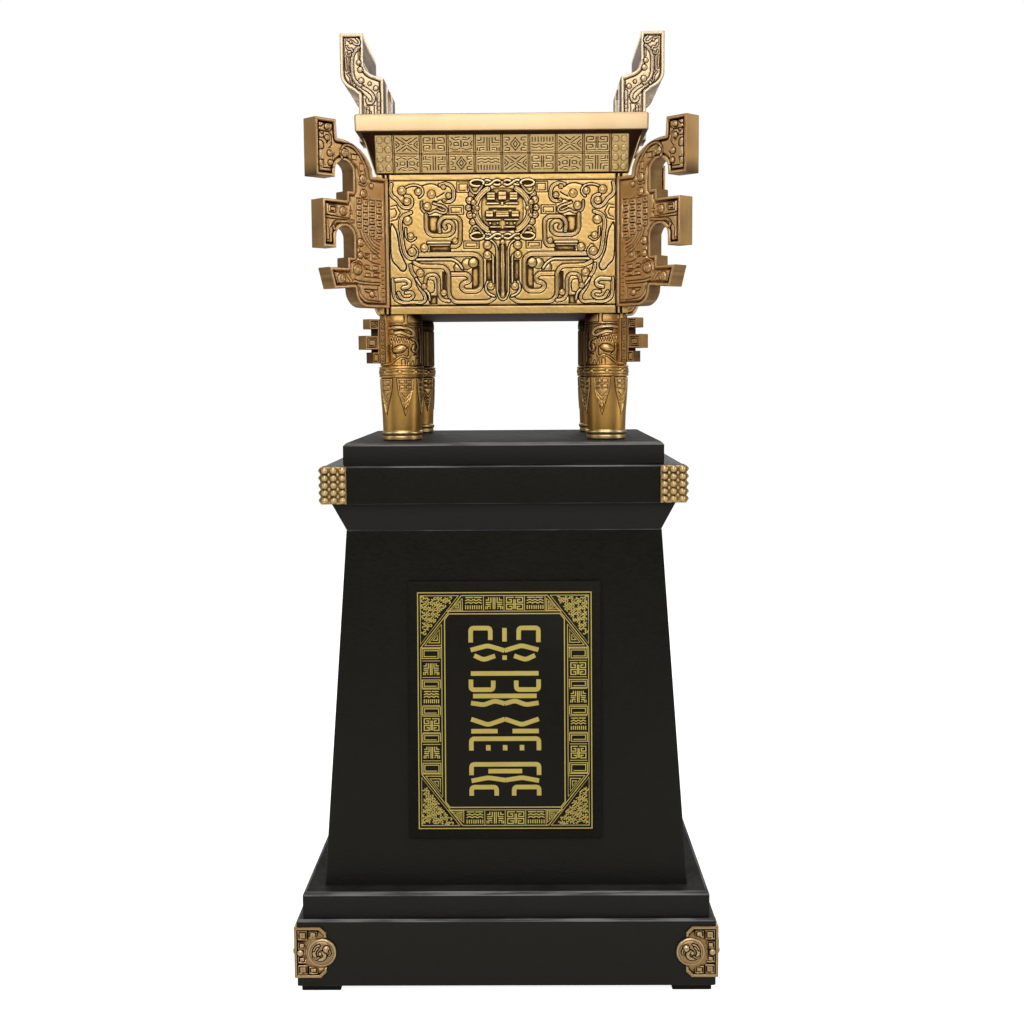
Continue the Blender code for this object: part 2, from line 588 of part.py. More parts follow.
def make_board(collection):
    """The board lies on the column's leaning front, and the plaque on the board."""
    lean = math.atan2(COLUMN_HALF_LOW - COLUMN_HALF_HIGH, COLUMN_TOP - STEP_TOP)
    share = (BOARD_MIDDLE_Z - STEP_TOP) / (COLUMN_TOP - STEP_TOP)
    front = COLUMN_HALF_LOW + (COLUMN_HALF_HIGH - COLUMN_HALF_LOW) * share
    matrix = wall_matrix(0, front, BOARD_MIDDLE_Z, -lean)
    sheets = (
        ("plaque_board", BOARD_WIDTH, BOARD_HEIGHT, GAP, BOARD_THICK, LACQUER),
        ("plaque_panel", PLAQUE_WIDTH, PLAQUE_HEIGHT, BOARD_THICK + 2 * GAP, PLAQUE_THICK, PLAQUE_BLACK),
    )
    for name, width, tall, behind, thick, finish in sheets:
        form = bmesh.new()
        add_box(form, (-width / 2, -tall / 2, behind), (width / 2, tall / 2, behind + thick))
        piece = make_piece(name, make_mesh(name, form), collection, finish, matrix)
        edge = piece.modifiers.new("softened edges", "BEVEL")
        edge.width = min(thick * 0.4, 0.0015)
        edge.segments = 1


def angle_bracket_form(half, width, thick, low, high, cut=0.0):
    """An L that wraps a corner of a square block; cut trims its inner upper and lower edges."""
    form = bmesh.new()
    near, far = half + GAP, half + GAP + thick
    reach = half - width
    if cut:
        outline = [(0, low), (far - reach - cut, low), (far - reach, low + cut)]
        outline += [(far - reach, high - cut), (far - reach - cut, high), (0, high)]
        for leaf in (0, 1):
            add_leaf(form, outline, near, far, leaf)
        bmesh.ops.remove_doubles(form, verts=form.verts[:], dist=1e-6)
        return form
    outline = [(far, far), (far, reach), (near, reach), (near, near), (reach, near), (reach, far)]
    add_prism(form, outline, low, high)
    return form


def add_leaf(form, outline, near, far, leaf):
    """One leaf of an L, mitred at the corner of the block."""
    face = [form.verts.new((far - along, far, up)) for along, up in outline]
    back = [form.verts.new((min(far - along, near), near, up)) for along, up in outline]
    count = len(outline)
    form.faces.new(face)
    form.faces.new(reversed(back))
    for i in range(count - 1):
        form.faces.new((face[i], face[i + 1], back[i + 1], back[i]))
    if leaf:
        for vert in face + back:
            vert.co.xy = vert.co.yx


def add_knob(form, half, along, up, radius, base, height, sides, crown=0.0):
    """The same knob on both leaves of a corner fitting, along measured from the corner."""
    for leaf in (0, 1):
        knob = bmesh.ops.create_cone(
            form, cap_ends=True, segments=sides, radius1=radius, radius2=crown, depth=height,
            matrix=Matrix.Translation((half - along, half + base + height / 2, up))
            @ Matrix.Rotation(math.radians(-90), 4, "X"),
        )
        if leaf:
            for vert in knob["verts"]:
                vert.co.xy = vert.co.yx


def make_corner_fittings(collection, name, half, plate_mesh, knob_mesh):
    """Four copies of a plate and its knobs, joined, one for each corner."""
    knobs = make_helper(f"{name}_knobs", knob_mesh, bpy.data.collections["cutters"])
    for i in range(4):
        matrix = Matrix.Rotation(math.radians(90 * i), 4, "Z")
        piece = make_piece(f"{name}_{i + 1}", plate_mesh, collection, BRASS, matrix)
        copy = knobs.copy()
        copy.matrix_world = matrix
        bpy.data.collections["cutters"].objects.link(copy)
        add_boolean(piece, "knobs", "UNION", copy)
    bpy.data.objects.remove(knobs)


def make_cap_mounts(collection):
    low, high = MOULDING_TOP + GAP + 0.2 * MM, CAP_TOP - 0.5 * MM
    plate = angle_bracket_form(CAP_HALF, CAP_MOUNT_WIDTH, CAP_MOUNT_THICK, low, high)
    knobs = bmesh.new()
    for row in range(STUD_ROWS):
        up = low + (high - low) * (row + 0.5) / STUD_ROWS
        for column in range(STUD_COLUMNS):
            along = CAP_MOUNT_WIDTH * (column + 0.5) / STUD_COLUMNS
            base = GAP + CAP_MOUNT_THICK - 1 * MM
            add_knob(knobs, CAP_HALF, along, up, 1.3 * STUD_RADIUS, base, STUD_HEIGHT + 1 * MM, 4)
    meshes = make_mesh("cap_corner_mount", plate), make_mesh("cap_studs", knobs)
    make_corner_fittings(collection, "cap_corner_mount", CAP_HALF, *meshes)


def make_plinth_mounts(collection):
    low = PLINTH_MOUNT_MIDDLE_Z - PLINTH_MOUNT_HEIGHT / 2
    sizes = (PLINTH_HALF, PLINTH_MOUNT_WIDTH, PLINTH_MOUNT_THICK)
    plate = angle_bracket_form(*sizes, low, low + PLINTH_MOUNT_HEIGHT, PLINTH_MOUNT_CUT)
    knobs = bmesh.new()
    disc = (DISC_FROM_EDGE, PLINTH_MOUNT_MIDDLE_Z, DISC_RADIUS, GAP, DISC_HEIGHT)
    add_knob(knobs, PLINTH_HALF, *disc, 14, 0.6 * DISC_RADIUS)
    base = GAP + PLINTH_MOUNT_THICK - 1 * MM
    button = (BUTTON_FROM_EDGE, PLINTH_MOUNT_MIDDLE_Z, BUTTON_RADIUS, base, BUTTON_HEIGHT)
    add_knob(knobs, PLINTH_HALF, *button, 6)
    meshes = make_mesh("plinth_corner_mount", plate), make_mesh("plinth_knobs", knobs)
    make_corner_fittings(collection, "plinth_corner_mount", PLINTH_HALF, *meshes)


def main():
    clear_scene()
    cutters = make_collection("cutters")
    castings = make_collection("castings")
    ding = make_collection("bronze_ding_on_pedestal")
    make_ding(ding, castings, cutters)
    make_pedestal(ding)
    make_board(ding)
    make_cap_mounts(ding)
    make_plinth_mounts(ding)


main()
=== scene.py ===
"""The looks of a square bronze ding on its black lacquered pedestal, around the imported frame.

Lengths are in metres, and in millimetres where a name or a comment says so. The front
faces -Y. Carving is drawn into height fields, which are then laid on the walls, the neck,
the corner flanges, the ears, the legs and the corner fittings.
"""

import json
import logging
import math
from collections.abc import Callable, Sequence
from dataclasses import dataclass, field
from enum import Enum

import bmesh
import bpy
import numpy as np
from mathutils import Matrix, Vector
from mathutils.geometry import delaunay_2d_cdt

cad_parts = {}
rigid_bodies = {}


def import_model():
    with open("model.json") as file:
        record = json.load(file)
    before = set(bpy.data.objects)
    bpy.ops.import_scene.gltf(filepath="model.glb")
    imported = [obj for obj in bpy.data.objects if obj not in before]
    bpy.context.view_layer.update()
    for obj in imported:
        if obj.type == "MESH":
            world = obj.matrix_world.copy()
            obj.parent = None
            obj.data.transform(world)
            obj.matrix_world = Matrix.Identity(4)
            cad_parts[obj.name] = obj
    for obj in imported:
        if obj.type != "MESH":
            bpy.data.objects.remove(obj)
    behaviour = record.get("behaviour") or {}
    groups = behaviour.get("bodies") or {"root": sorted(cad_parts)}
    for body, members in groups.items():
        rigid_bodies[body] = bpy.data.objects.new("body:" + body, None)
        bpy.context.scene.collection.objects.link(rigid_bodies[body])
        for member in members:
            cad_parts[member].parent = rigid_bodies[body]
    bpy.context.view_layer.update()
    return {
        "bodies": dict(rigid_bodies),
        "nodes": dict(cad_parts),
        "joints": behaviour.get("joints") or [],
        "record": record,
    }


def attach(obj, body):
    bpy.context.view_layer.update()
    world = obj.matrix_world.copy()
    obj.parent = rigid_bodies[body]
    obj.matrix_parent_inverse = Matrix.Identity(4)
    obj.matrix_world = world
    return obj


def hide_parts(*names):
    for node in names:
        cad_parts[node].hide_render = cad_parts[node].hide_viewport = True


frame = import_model()

LOG = logging.getLogger("ding")
MM = 0.001
CORNERS = ((-1, -1), (1, -1), (1, 1), (-1, 1))

Point = tuple[float, float]
Path = Sequence[Point]
Triple = tuple[float, float, float]
Spot = tuple[slice, slice]
Piece = bpy.types.Object
Mesh = bpy.types.Mesh
Socket = bpy.types.NodeSocket


# Plane geometry


def arc(centre: Point, radii: Point, start: float, end: float, steps: int) -> list[Point]:
    """Points on an elliptical arc, both ends included.

    Args:
        centre: Its centre.
        radii: Its radii across and up.
        start: First angle in degrees.
        end: Last angle in degrees.
        steps: How many straight steps it is cut into.

    Returns:
        The points, one more than the steps.
    """
    angles = np.radians(np.linspace(start, end, steps + 1))
    return [(centre[0] + radii[0] * math.cos(a), centre[1] + radii[1] * math.sin(a)) for a in angles]


def rounded(path: Path, radius: float, steps: int = 5) -> list[Point]:
    """A path with its inner corners turned into curves.

    Args:
        path: The corners.
        radius: How far from a corner its curve starts, less on short stretches.
        steps: Straight steps in each curve.

    Returns:
        The points of the smooth path.
    """
    corners = [Vector(p) for p in path]
    found = [tuple(corners[0])]
    for before, corner, after in zip(corners, corners[1:], corners[2:]):
        back, on = before - corner, after - corner
        reach = min(radius, back.length / 2, on.length / 2)
        start, end = corner + back.normalized() * reach, corner + on.normalized() * reach
        for i in range(steps + 1):
            t = i / steps
            found.append(tuple((1 - t) ** 2 * start + 2 * t * (1 - t) * corner + t * t * end))
    return found + [tuple(corners[-1])]


def scroll(centre: Point, radius: float, turns: float, start: float, hand: int = 1) -> list[Point]:
    """A spiral that winds in from its rim.

    Args:
        centre: Its centre.
        radius: Radius where it starts.
        turns: Turns to the inner end.
        start: Angle of the outer end, in degrees.
        hand: 1 winds in counter-clockwise, -1 clockwise.

    Returns:
        The points, from the rim in.
    """
    steps = max(8, round(14 * turns))
    found = []
    for i in range(steps + 1):
        t = i / steps
        angle = math.radians(start + hand * 360 * turns * t)
        here = radius * (1 - 0.8 * t)
        found.append((centre[0] + here * math.cos(angle), centre[1] + here * math.sin(angle)))
    return found


def square_spiral(centre: Point, size: Point, pitch: float, hand: int = 1) -> list[Point]:
    """The thunder pattern: a spiral of straight strokes inside a rectangle.

    Args:
        centre: Middle of the rectangle.
        size: Its width and height.
        pitch: Distance from one turn to the next.
        hand: -1 mirrors it from side to side.

    Returns:
        The corners, from the outside in.
    """
    u, v, inset = size[0] / 2, size[1] / 2, 0.0
    corners = [(-u, -v)]
    while min(u, v) - inset > 0.6 * pitch:
        corners += [(inset - u, v - inset), (u - inset, v - inset), (u - inset, inset - v)]
        inset += pitch
        corners.append((min(inset, u) - u, inset - pitch - v))
    return [(centre[0] + hand * a, centre[1] + b) for a, b in corners]


# Height fields


WALL_RUN = 0.9  # millimetres over which a cut or a raised edge slopes
BAND_CROWN = 0.45  # how far a band falls from its middle to its edges
LINE_PLACE, LINE_DEPTH, LINE_WIDTH = 0.42, 0.7, 0.55  # fine lines along a band
DOME_FOOT, DOME_POWER = 0.6, 0.34  # how steeply a boss starts, and how full it is
CREST_REACH, FINE_REACH, BROAD_REACH = 1.6, 1.4, 4.5  # millimetres that wear, patina and painted shade look around a place
CAST_WAVES = ((0.3, 6.1), (1.4, 7.3), (2.5, 5.3), (3.9, 8.9))  # direction in radians, length in millimetres


def ease(share: np.ndarray) -> np.ndarray:
    """Zero to one along a smooth step."""
    t = np.clip(share, 0, 1)
    return t * t * (3 - 2 * t)


@dataclass
class Relief:
    """Carving as heights in millimetres over a flat rectangle, itself in millimetres.

    Attributes:
        left: Where the rectangle starts across.
        low: Where it starts up.
        wide: Its width.
        tall: Its height.
        step: Distance between neighbouring heights.
        level: Height that it starts with.
    """

    left: float
    low: float
    wide: float
    tall: float
    step: float
    level: float = 0.0
    height: np.ndarray = field(init=False, repr=False)

    def __post_init__(self) -> None:
        """Lays the level field out."""
        columns, rows = round(self.wide / self.step) + 1, round(self.tall / self.step) + 1
        self.u = np.linspace(self.left, self.left + self.wide, columns)
        self.v = np.linspace(self.low, self.low + self.tall, rows)
        self.height = np.full((rows, columns), self.level)

    def near(self, path: Path, reach: float) -> tuple[Spot, np.ndarray, np.ndarray]:
        """The part of the field around some points.

        Args:
            path: The points.
            reach: How far round them, in millimetres.

        Returns:
            Its rows and columns, and the places across and up of its heights.
        """
        across, up = zip(*path)
        columns = np.searchsorted(self.u, (min(across) - reach, max(across) + reach))
        rows = np.searchsorted(self.v, (min(up) - reach, max(up) + reach))
        spot = slice(*rows), slice(*columns)
        return spot, *np.meshgrid(self.u[spot[1]], self.v[spot[0]])

    def distance(self, path: Path, reach: float) -> tuple[Spot, np.ndarray]:
        """How far each height near a path lies from it.

        Args:
            path: The path's points.
            reach: How far out the distances are needed.

        Returns:
            The rows and columns, and the distances there.
        """
        spot, u, v = self.near(path, reach)
        nearest = np.full(u.shape, 1e9)
        for (start_u, start_v), (end_u, end_v) in zip(path, path[1:]):
            run_u, run_v = end_u - start_u, end_v - start_v
            length = max(run_u * run_u + run_v * run_v, 1e-9)
            t = np.clip(((u - start_u) * run_u + (v - start_v) * run_v) / length, 0, 1)
            away = (u - start_u - t * run_u) ** 2 + (v - start_v - t * run_v) ** 2
            np.minimum(nearest, away, out=nearest)
        return spot, np.sqrt(nearest)

    def outside(self, outline: Path, reach: float) -> tuple[Spot, np.ndarray]:
        """How far each height lies outside a closed outline, negative inside it.

        Args:
            outline: The corners, without the first one again at the end.
            reach: How far out the distances are needed.

        Returns:
            The rows and columns, and the signed distances there.
        """
        closed = [*outline, outline[0]]
        spot, away = self.distance(closed, reach)
        _, u, v = self.near(closed, reach)
        inside = np.zeros(u.shape, bool)
        for (start_u, start_v), (end_u, end_v) in zip(closed, closed[1:]):
            if start_v != end_v:
                crossing = start_u + (end_u - start_u) * (v - start_v) / (end_v - start_v)
                inside ^= ((start_v > v) != (end_v > v)) & (u < crossing)
        return spot, np.where(inside, -away, away)

    def lower(self, spot: Spot, away: np.ndarray, floor: float) -> None:
        """Cuts down to a floor wherever away is negative, with sloping sides.

        Args:
            spot: Rows and columns.
            away: Signed distances there.
            floor: Height of the floor.
        """
        old = self.height[spot]
        cut = floor + (old - floor) * ease(1 + away / WALL_RUN)
        self.height[spot] = np.where(away < 0, np.minimum(old, cut), old)

    def lift(self, spot: Spot, away: np.ndarray, top: np.ndarray | float) -> None:
        """Raises to a top wherever away is negative, with sloping sides.

        Args:
            spot: Rows and columns.
            away: Signed distances there.
            top: Height of the top.
        """
        old = self.height[spot]
        raised = old + (top - old) * ease(-away / WALL_RUN)
        self.height[spot] = np.where(away < 0, np.maximum(old, raised), old)

    def pocket(self, outline: Path, floor: float) -> None:
        """Sinks the ground inside an outline."""
        self.lower(*self.outside(outline, 1), floor)

    def plate(self, outline: Path, top: float, moat: float = 0.0, floor: float = -3.0) -> None:
        """Raises a flat shape, with a moat round it where one is asked for.

        Args:
            outline: Its corners.
            top: Its height.
            moat: Width of the moat, 0 for none.
            floor: Height of the moat's floor.
        """
        spot, away = self.outside(outline, 1 + moat)
        if moat:
            self.lower(spot, away - moat, floor)
        self.lift(spot, away, top)

    def band(self, path: Path, width: float, top: float = 0.4, moat: float = 1.3, floor: float = -3.2,
             lines: int = 0) -> None:
        """A raised, slightly crowned band with a moat on both sides.

        Args:
            path: Its middle line.
            width: Its width.
            top: Height of its crown.
            moat: Width of the moat beside it.
            floor: Height of the moat's floor.
            lines: How many fine lines are cut along it, 0, 1 or 2.
        """
        half = width / 2
        spot, away = self.distance(path, half + moat + 1)
        self.lower(spot, away - half - moat, floor)
        crown = top - BAND_CROWN * (away / half) ** 2
        if lines:
            line_at = 0.0 if lines == 1 else LINE_PLACE * half
            crown = crown - LINE_DEPTH * np.exp(-(((away - line_at) / LINE_WIDTH) ** 2))
        self.lift(spot, away - half, crown)

    def boss(self, at: Point, radius: float, top: float = 2.2, moat: float = 1.2,
             floor: float = -3.2) -> None:
        """A dome with a moat round it.

        Args:
            at: Its middle.
            radius: Its radius.
            top: Its height.
            moat: Width of the moat.
            floor: Height of the moat's floor.
        """
        spot, u, v = self.near([at], radius + moat + 1)
        away = np.hypot(u - at[0], v - at[1])
        self.lower(spot, away - radius - moat, floor)
        full = np.clip(1 - (away / radius) ** 2, 0, 1) ** DOME_POWER
        dome = floor + DOME_FOOT + (top - floor - DOME_FOOT) * full
        self.height[spot] = np.where(away < radius, np.maximum(self.height[spot], dome), self.height[spot])

    def curl(self, at: Point, radius: float, start: float) -> None:
        """A crescent cut into a boss."""
        self.groove(arc(at, (0.52 * radius, 0.52 * radius), start, start + 250, 14), 1.1, 0.9)

    def groove(self, path: Path, width: float = 1.2, depth: float = 1.2) -> None:
        """A fine line cut along a path."""
        spot, away = self.distance(path, 2 * width)
        self.height[spot] -= depth * np.exp(-((2 * away / width) ** 2))

    def roughen(self, height: float = 0.027) -> None:
        """Adds the soft unevenness of a casting.

        Args:
            height: How far it goes up and down.
        """
        u, v = np.meshgrid(self.u, self.v)
        for turn, size in CAST_WAVES:
            along = (u * math.cos(turn) + v * math.sin(turn) + 1.5 * np.sin(v / 7 + turn)) / size
            self.height += height * np.sin(2 * math.pi * along)

    def box(self, centre: Point, size: Point) -> list[Point]:
        """The corners of an upright rectangle."""
        u, v = size[0] / 2, size[1] / 2
        return [(centre[0] + x * u, centre[1] + y * v) for x, y in CORNERS]

    def mirror(self) -> "Relief":
        """The whole field, from one that holds its right half and starts at the middle line.

        Returns:
            The whole field.
        """
        whole = Relief(-self.wide, self.low, 2 * self.wide, self.tall, self.step)
        whole.height = np.hstack([self.height[:, :0:-1], self.height])
        whole.u = np.concatenate([-self.u[:0:-1], self.u])
        return whole

    def sample(self, values: np.ndarray, u: np.ndarray, v: np.ndarray) -> np.ndarray:
        """Reads values of the field between its points.

        Args:
            values: An array like height.
            u: Places across.
            v: Places up.

        Returns:
            One value for each place.
        """
        rows, columns = values.shape
        x = np.clip((u - self.u[0]) / (self.u[-1] - self.u[0]) * (columns - 1), 0, columns - 1.001)
        y = np.clip((v - self.v[0]) / (self.v[-1] - self.v[0]) * (rows - 1), 0, rows - 1.001)
        i, j = x.astype(int), y.astype(int)
        x, y = x - i, y - j
        low = values[j, i] * (1 - x) + values[j, i + 1] * x
        high = values[j + 1, i] * (1 - x) + values[j + 1, i + 1] * x
        return low * (1 - y) + high * y

    def blurred(self, radius: float) -> np.ndarray:
        """The heights, evened out over a radius in millimetres.

        Args:
            radius: The radius.

        Returns:
            An array like height.
        """
        reach = max(1, round(radius / self.step))
        found = self.height
        for axis in (0, 1, 0, 1):
            edge = [(reach + 1, reach) if i == axis else (0, 0) for i in (0, 1)]
            total = np.cumsum(np.pad(found, edge, mode="edge"), axis=axis)
            count = found.shape[axis]
            high = np.take(total, range(2 * reach + 1, 2 * reach + 1 + count), axis=axis)
            found = (high - np.take(total, range(count), axis=axis)) / (2 * reach + 1)
        return found

    def recess(self) -> np.ndarray:
        """How deep each place lies among its neighbours, 0 to 1, as patina and painted shade."""
        # The fine part stands for patina in narrow hollows; the broad part is painted shade on the ground
        # beside raised parts.
        fine, broad = self.blurred(FINE_REACH) - self.height, self.blurred(BROAD_REACH) - self.height
        return np.clip(0.5 * fine + 0.3 * broad - 0.012 * np.minimum(self.height, 0), 0, 1)

    def crest(self) -> np.ndarray:
        """How far each place stands above its neighbours, 0 to 1."""
        return np.clip((self.height - self.blurred(CREST_REACH)) * 1.3, 0, 1)


# Surfaces that a relief is laid on


@dataclass(frozen=True)
class Face:
    """A flat face: local X runs across it, Y up it and Z out of it."""

    matrix: Matrix

    def place(self, flat: np.ndarray) -> np.ndarray:
        """Metres in the frame, from millimetres across, up and out."""
        turn = np.array(self.matrix)
        return flat * MM @ turn[:3, :3].T + turn[:3, 3]

    def find(self, places: np.ndarray) -> np.ndarray:
        """Millimetres across, up and out, from metres in the frame."""
        back = np.array(self.matrix.inverted())
        return (places @ back[:3, :3].T + back[:3, 3]) / MM


@dataclass(frozen=True)
class Turned:
    """A turned surface round an upright axis; across runs round it, at its nominal radius.

    Attributes:
        x: Place of the axis.
        y: Place of the axis.
        outward: Direction of across = 0, as an angle.
        nominal: Radius in millimetres that across is measured at.
        profile: Radii and heights in millimetres, from the foot up.
        base: Height of the foot in metres.
    """

    x: float
    y: float
    outward: float
    nominal: float
    profile: tuple[Point, ...]
    base: float

    def place(self, flat: np.ndarray) -> np.ndarray:
        """Metres in the frame, from millimetres round, up and out.

        Args:
            flat: Places (n, 3) in millimetres.

        Returns:
            Places (n, 3) in metres.
        """
        radii, heights = zip(*self.profile)
        radius = (np.interp(flat[:, 1], heights, radii) + flat[:, 2]) * MM
        angle = self.outward + flat[:, 0] / self.nominal
        x, y = self.x + radius * np.cos(angle), self.y + radius * np.sin(angle)
        return np.stack([x, y, self.base + flat[:, 1] * MM], -1)

    def find(self, places: np.ndarray) -> np.ndarray:
        """Millimetres round, up and out, from metres in the frame.

        Args:
            places: Places (n, 3) in metres.

        Returns:
            Places (n, 3) in millimetres.
        """
        radii, heights = zip(*self.profile)
        angle = np.arctan2(places[:, 1] - self.y, places[:, 0] - self.x) - self.outward
        angle = (angle + math.pi) % math.tau - math.pi
        up = (places[:, 2] - self.base) / MM
        radius = np.hypot(places[:, 0] - self.x, places[:, 1] - self.y) / MM
        return np.stack([angle * self.nominal, up, radius - np.interp(up, heights, radii)], -1)


@dataclass(frozen=True)
class Bent:
    """A sheet bent round an upright corner: across is 0 at the corner and grows along its front leaf.

    Attributes:
        matrix: Local axes at the corner, with X along the front leaf, Y along the side leaf and Z up.
        radius: Radius of the bend in millimetres.
    """

    matrix: Matrix
    radius: float = 1.5

    @property
    def reach(self) -> float:
        """Half the length of the bend."""
        return self.radius * math.pi / 4

    def place(self, flat: np.ndarray) -> np.ndarray:
        """Metres in the frame, from millimetres across, up and out.

        Args:
            flat: Places (n, 3) in millimetres.

        Returns:
            Places (n, 3) in metres.
        """
        across, up, out = flat.T
        along = self.radius + np.abs(across) - self.reach
        angle = math.radians(-135) + across / self.radius
        bend, front = np.abs(across) < self.reach, across > 0
        x = np.where(bend, self.radius + (self.radius + out) * np.cos(angle), np.where(front, along, -out))
        y = np.where(bend, self.radius + (self.radius + out) * np.sin(angle), np.where(front, -out, along))
        turn = np.array(self.matrix)
        return np.stack([x, y, up], -1) * MM @ turn[:3, :3].T + turn[:3, 3]

    def find(self, places: np.ndarray) -> np.ndarray:
        """Millimetres across, up and out, from metres in the frame.

        Args:
            places: Places (n, 3) in metres.

        Returns:
            Places (n, 3) in millimetres.
        """
        back = np.array(self.matrix.inverted())
        x, y, up = ((places @ back[:3, :3].T + back[:3, 3]) / MM).T
        away = np.hypot(x - self.radius, y - self.radius)
        angle = np.arctan2(y - self.radius, x - self.radius) + math.radians(135)
        bend = (x < self.radius) & (y < self.radius)
        along = np.maximum(x, y) - self.radius + self.reach
        across = np.where(bend, angle * self.radius, np.where(x > y, along, -along))
        out = np.where(bend, away - self.radius, -np.minimum(x, y))
        return np.stack([across, up, out], -1)


Surface = Face | Turned | Bent


def wall_matrix(turn: float, distance: float, height: float, lean: float = 0.0) -> Matrix:
    """Local axes of a wall.

    Args:
        turn: Degrees round from the front wall.
        distance: How far it stands from the middle.
        height: Height of its local origin.
        lean: How far it leans outwards, in radians.

    Returns:
        A matrix with X across, Y up and Z out.
    """
    return (
        Matrix.Rotation(math.radians(turn), 4, "Z")
        @ Matrix.Translation((0, -distance, height))
        @ Matrix.Rotation(math.radians(90) + lean, 4, "X")
    )


# Meshes


def finished(form: bmesh.types.BMesh, name: str) -> Mesh:
    """The mesh that a form makes, after which the form is gone.

    Args:
        form: The form.
        name: The mesh's name.

    Returns:
        The mesh.
    """
    mesh = bpy.data.meshes.new(name)
    form.to_mesh(mesh)
    form.free()
    return mesh


def new_object(name: str, mesh: bpy.types.ID) -> Piece:
    """An object in the scene's own collection.

    Args:
        name: Its name.
        mesh: Its mesh, camera or light.

    Returns:
        The object.
    """
    found = bpy.data.objects.new(name, mesh)
    bpy.context.scene.collection.objects.link(found)
    return found


def mesh_of(name: str, places: np.ndarray, faces: list[Sequence[int]]) -> Mesh:
    """A smooth-shaded mesh from its points and faces.

    Args:
        name: Its name.
        places: Points (n, 3).
        faces: Indices of each face's points.

    Returns:
        The mesh.
    """
    mesh = bpy.data.meshes.new(name)
    mesh.from_pydata(places, [], faces)
    mesh.shade_smooth()
    mesh.update()
    return mesh


def triangles(mesh: Mesh) -> int:
    """How many triangles a mesh comes to."""
    return len(mesh.loops) - 2 * len(mesh.polygons)


def settle(piece: Piece) -> None:
    """Replaces a piece's mesh by what its modifiers make of it.

    Args:
        piece: The piece.
    """
    graph = bpy.context.evaluated_depsgraph_get()
    mesh = bpy.data.meshes.new_from_object(piece.evaluated_get(graph))
    piece.modifiers.clear()
    old, piece.data = piece.data, mesh
    bpy.data.meshes.remove(old)


def thin(piece: Piece, budget: int) -> None:
    """Collapses a piece's least needed edges until it has at most this many triangles.

    Args:
        piece: The piece.
        budget: The most triangles.
    """
    count = triangles(piece.data)
    if count > budget:
        modifier = piece.modifiers.new("thinned", "DECIMATE")
        modifier.ratio = budget / count
        settle(piece)


def crisp(piece: Piece, degrees: float = 42) -> None:
    """Smooth shading that stays sharp along the steeper edges."""
    piece.data.shade_smooth()
    piece.data.set_sharp_from_angle(angle=math.radians(degrees))


def even_out(piece: Piece) -> None:
    """Sharp steep edges, and shading that keeps flat ground flat between them.

    Args:
        piece: The piece.
    """
    crisp(piece)
    modifier = piece.modifiers.new("even shading", "WEIGHTED_NORMAL")
    modifier.keep_sharp = True
    settle(piece)


def grid_faces(rows: int, columns: int, ring: bool = False) -> list[Sequence[int]]:
    """The quads of a grid of points.

    Args:
        rows: Points up.
        columns: Points across.
        ring: Whether the last column joins the first.

    Returns:
        The quads, as indices.
    """
    index = np.arange(rows * columns).reshape(rows, columns)
    if ring:
        index = np.hstack([index, index[:, :1]])
    quads = np.stack([index[:-1, :-1], index[:-1, 1:], index[1:, 1:], index[1:, :-1]], -1)
    return quads.reshape(-1, 4).tolist()


def add_wear(mesh: Mesh, recess: np.ndarray, crest: np.ndarray | float = 0.0) -> None:
    """Stores how sunk and how proud each point is, for the finish to read.

    Args:
        mesh: The mesh.
        recess: How sunk, 0 to 1, painted shade included.
        crest: How proud, 0 to 1, painted highlights included.
    """
    for name, values in (("recess", recess), ("crest", crest)):
        attribute = mesh.attributes.get(name) or mesh.attributes.new(name, "FLOAT", "POINT")
        attribute.data.foreach_set("value", np.full(len(mesh.vertices), values, np.float32))


def places_of(piece: Piece) -> np.ndarray:
    """Where a piece's points are.

    Args:
        piece: The piece.

    Returns:
        Places (n, 3) in metres.
    """
    places = np.empty(len(piece.data.vertices) * 3)
    piece.data.vertices.foreach_get("co", places)
    return places.reshape(-1, 3)


def retouch(piece: Piece, name: str, rule: Callable[..., np.ndarray]) -> None:
    """Changes a piece's wear, and paints shade and highlights into it, by where its points are.

    Args:
        piece: The piece, before it is turned into place.
        name: What changes, recess or crest.
        rule: Takes x, y and z in metres and the old values, and gives the new ones.
    """
    stored = piece.data.attributes[name].data
    old = np.empty(len(stored))
    stored.foreach_get("value", old)
    stored.foreach_set("value", rule(*places_of(piece).T, old).astype(np.float32))


def wear_from(piece: Piece, relief: Relief, surface: Surface, plain: float = 0.2,
              twin: float | None = None) -> None:
    """Reads the wear and painted shade of a relief at a piece's points.

    Args:
        piece: The piece, laid in place.
        relief: Its carving.
        surface: What the carving lies on.
        plain: Recess of the points well behind the carving.
        twin: The piece's thickness, where its back carries the same carving.
    """
    across, up, out = surface.find(places_of(piece)).T
    if twin:
        out = np.abs(out + twin / 2) - twin / 2
    behind = out < relief.height.min() - 0.4
    recess = relief.sample(relief.recess(), across, up)
    crest = relief.sample(relief.crest(), across, up)
    add_wear(piece.data, np.where(behind, plain, recess), np.where(behind, 0, crest))


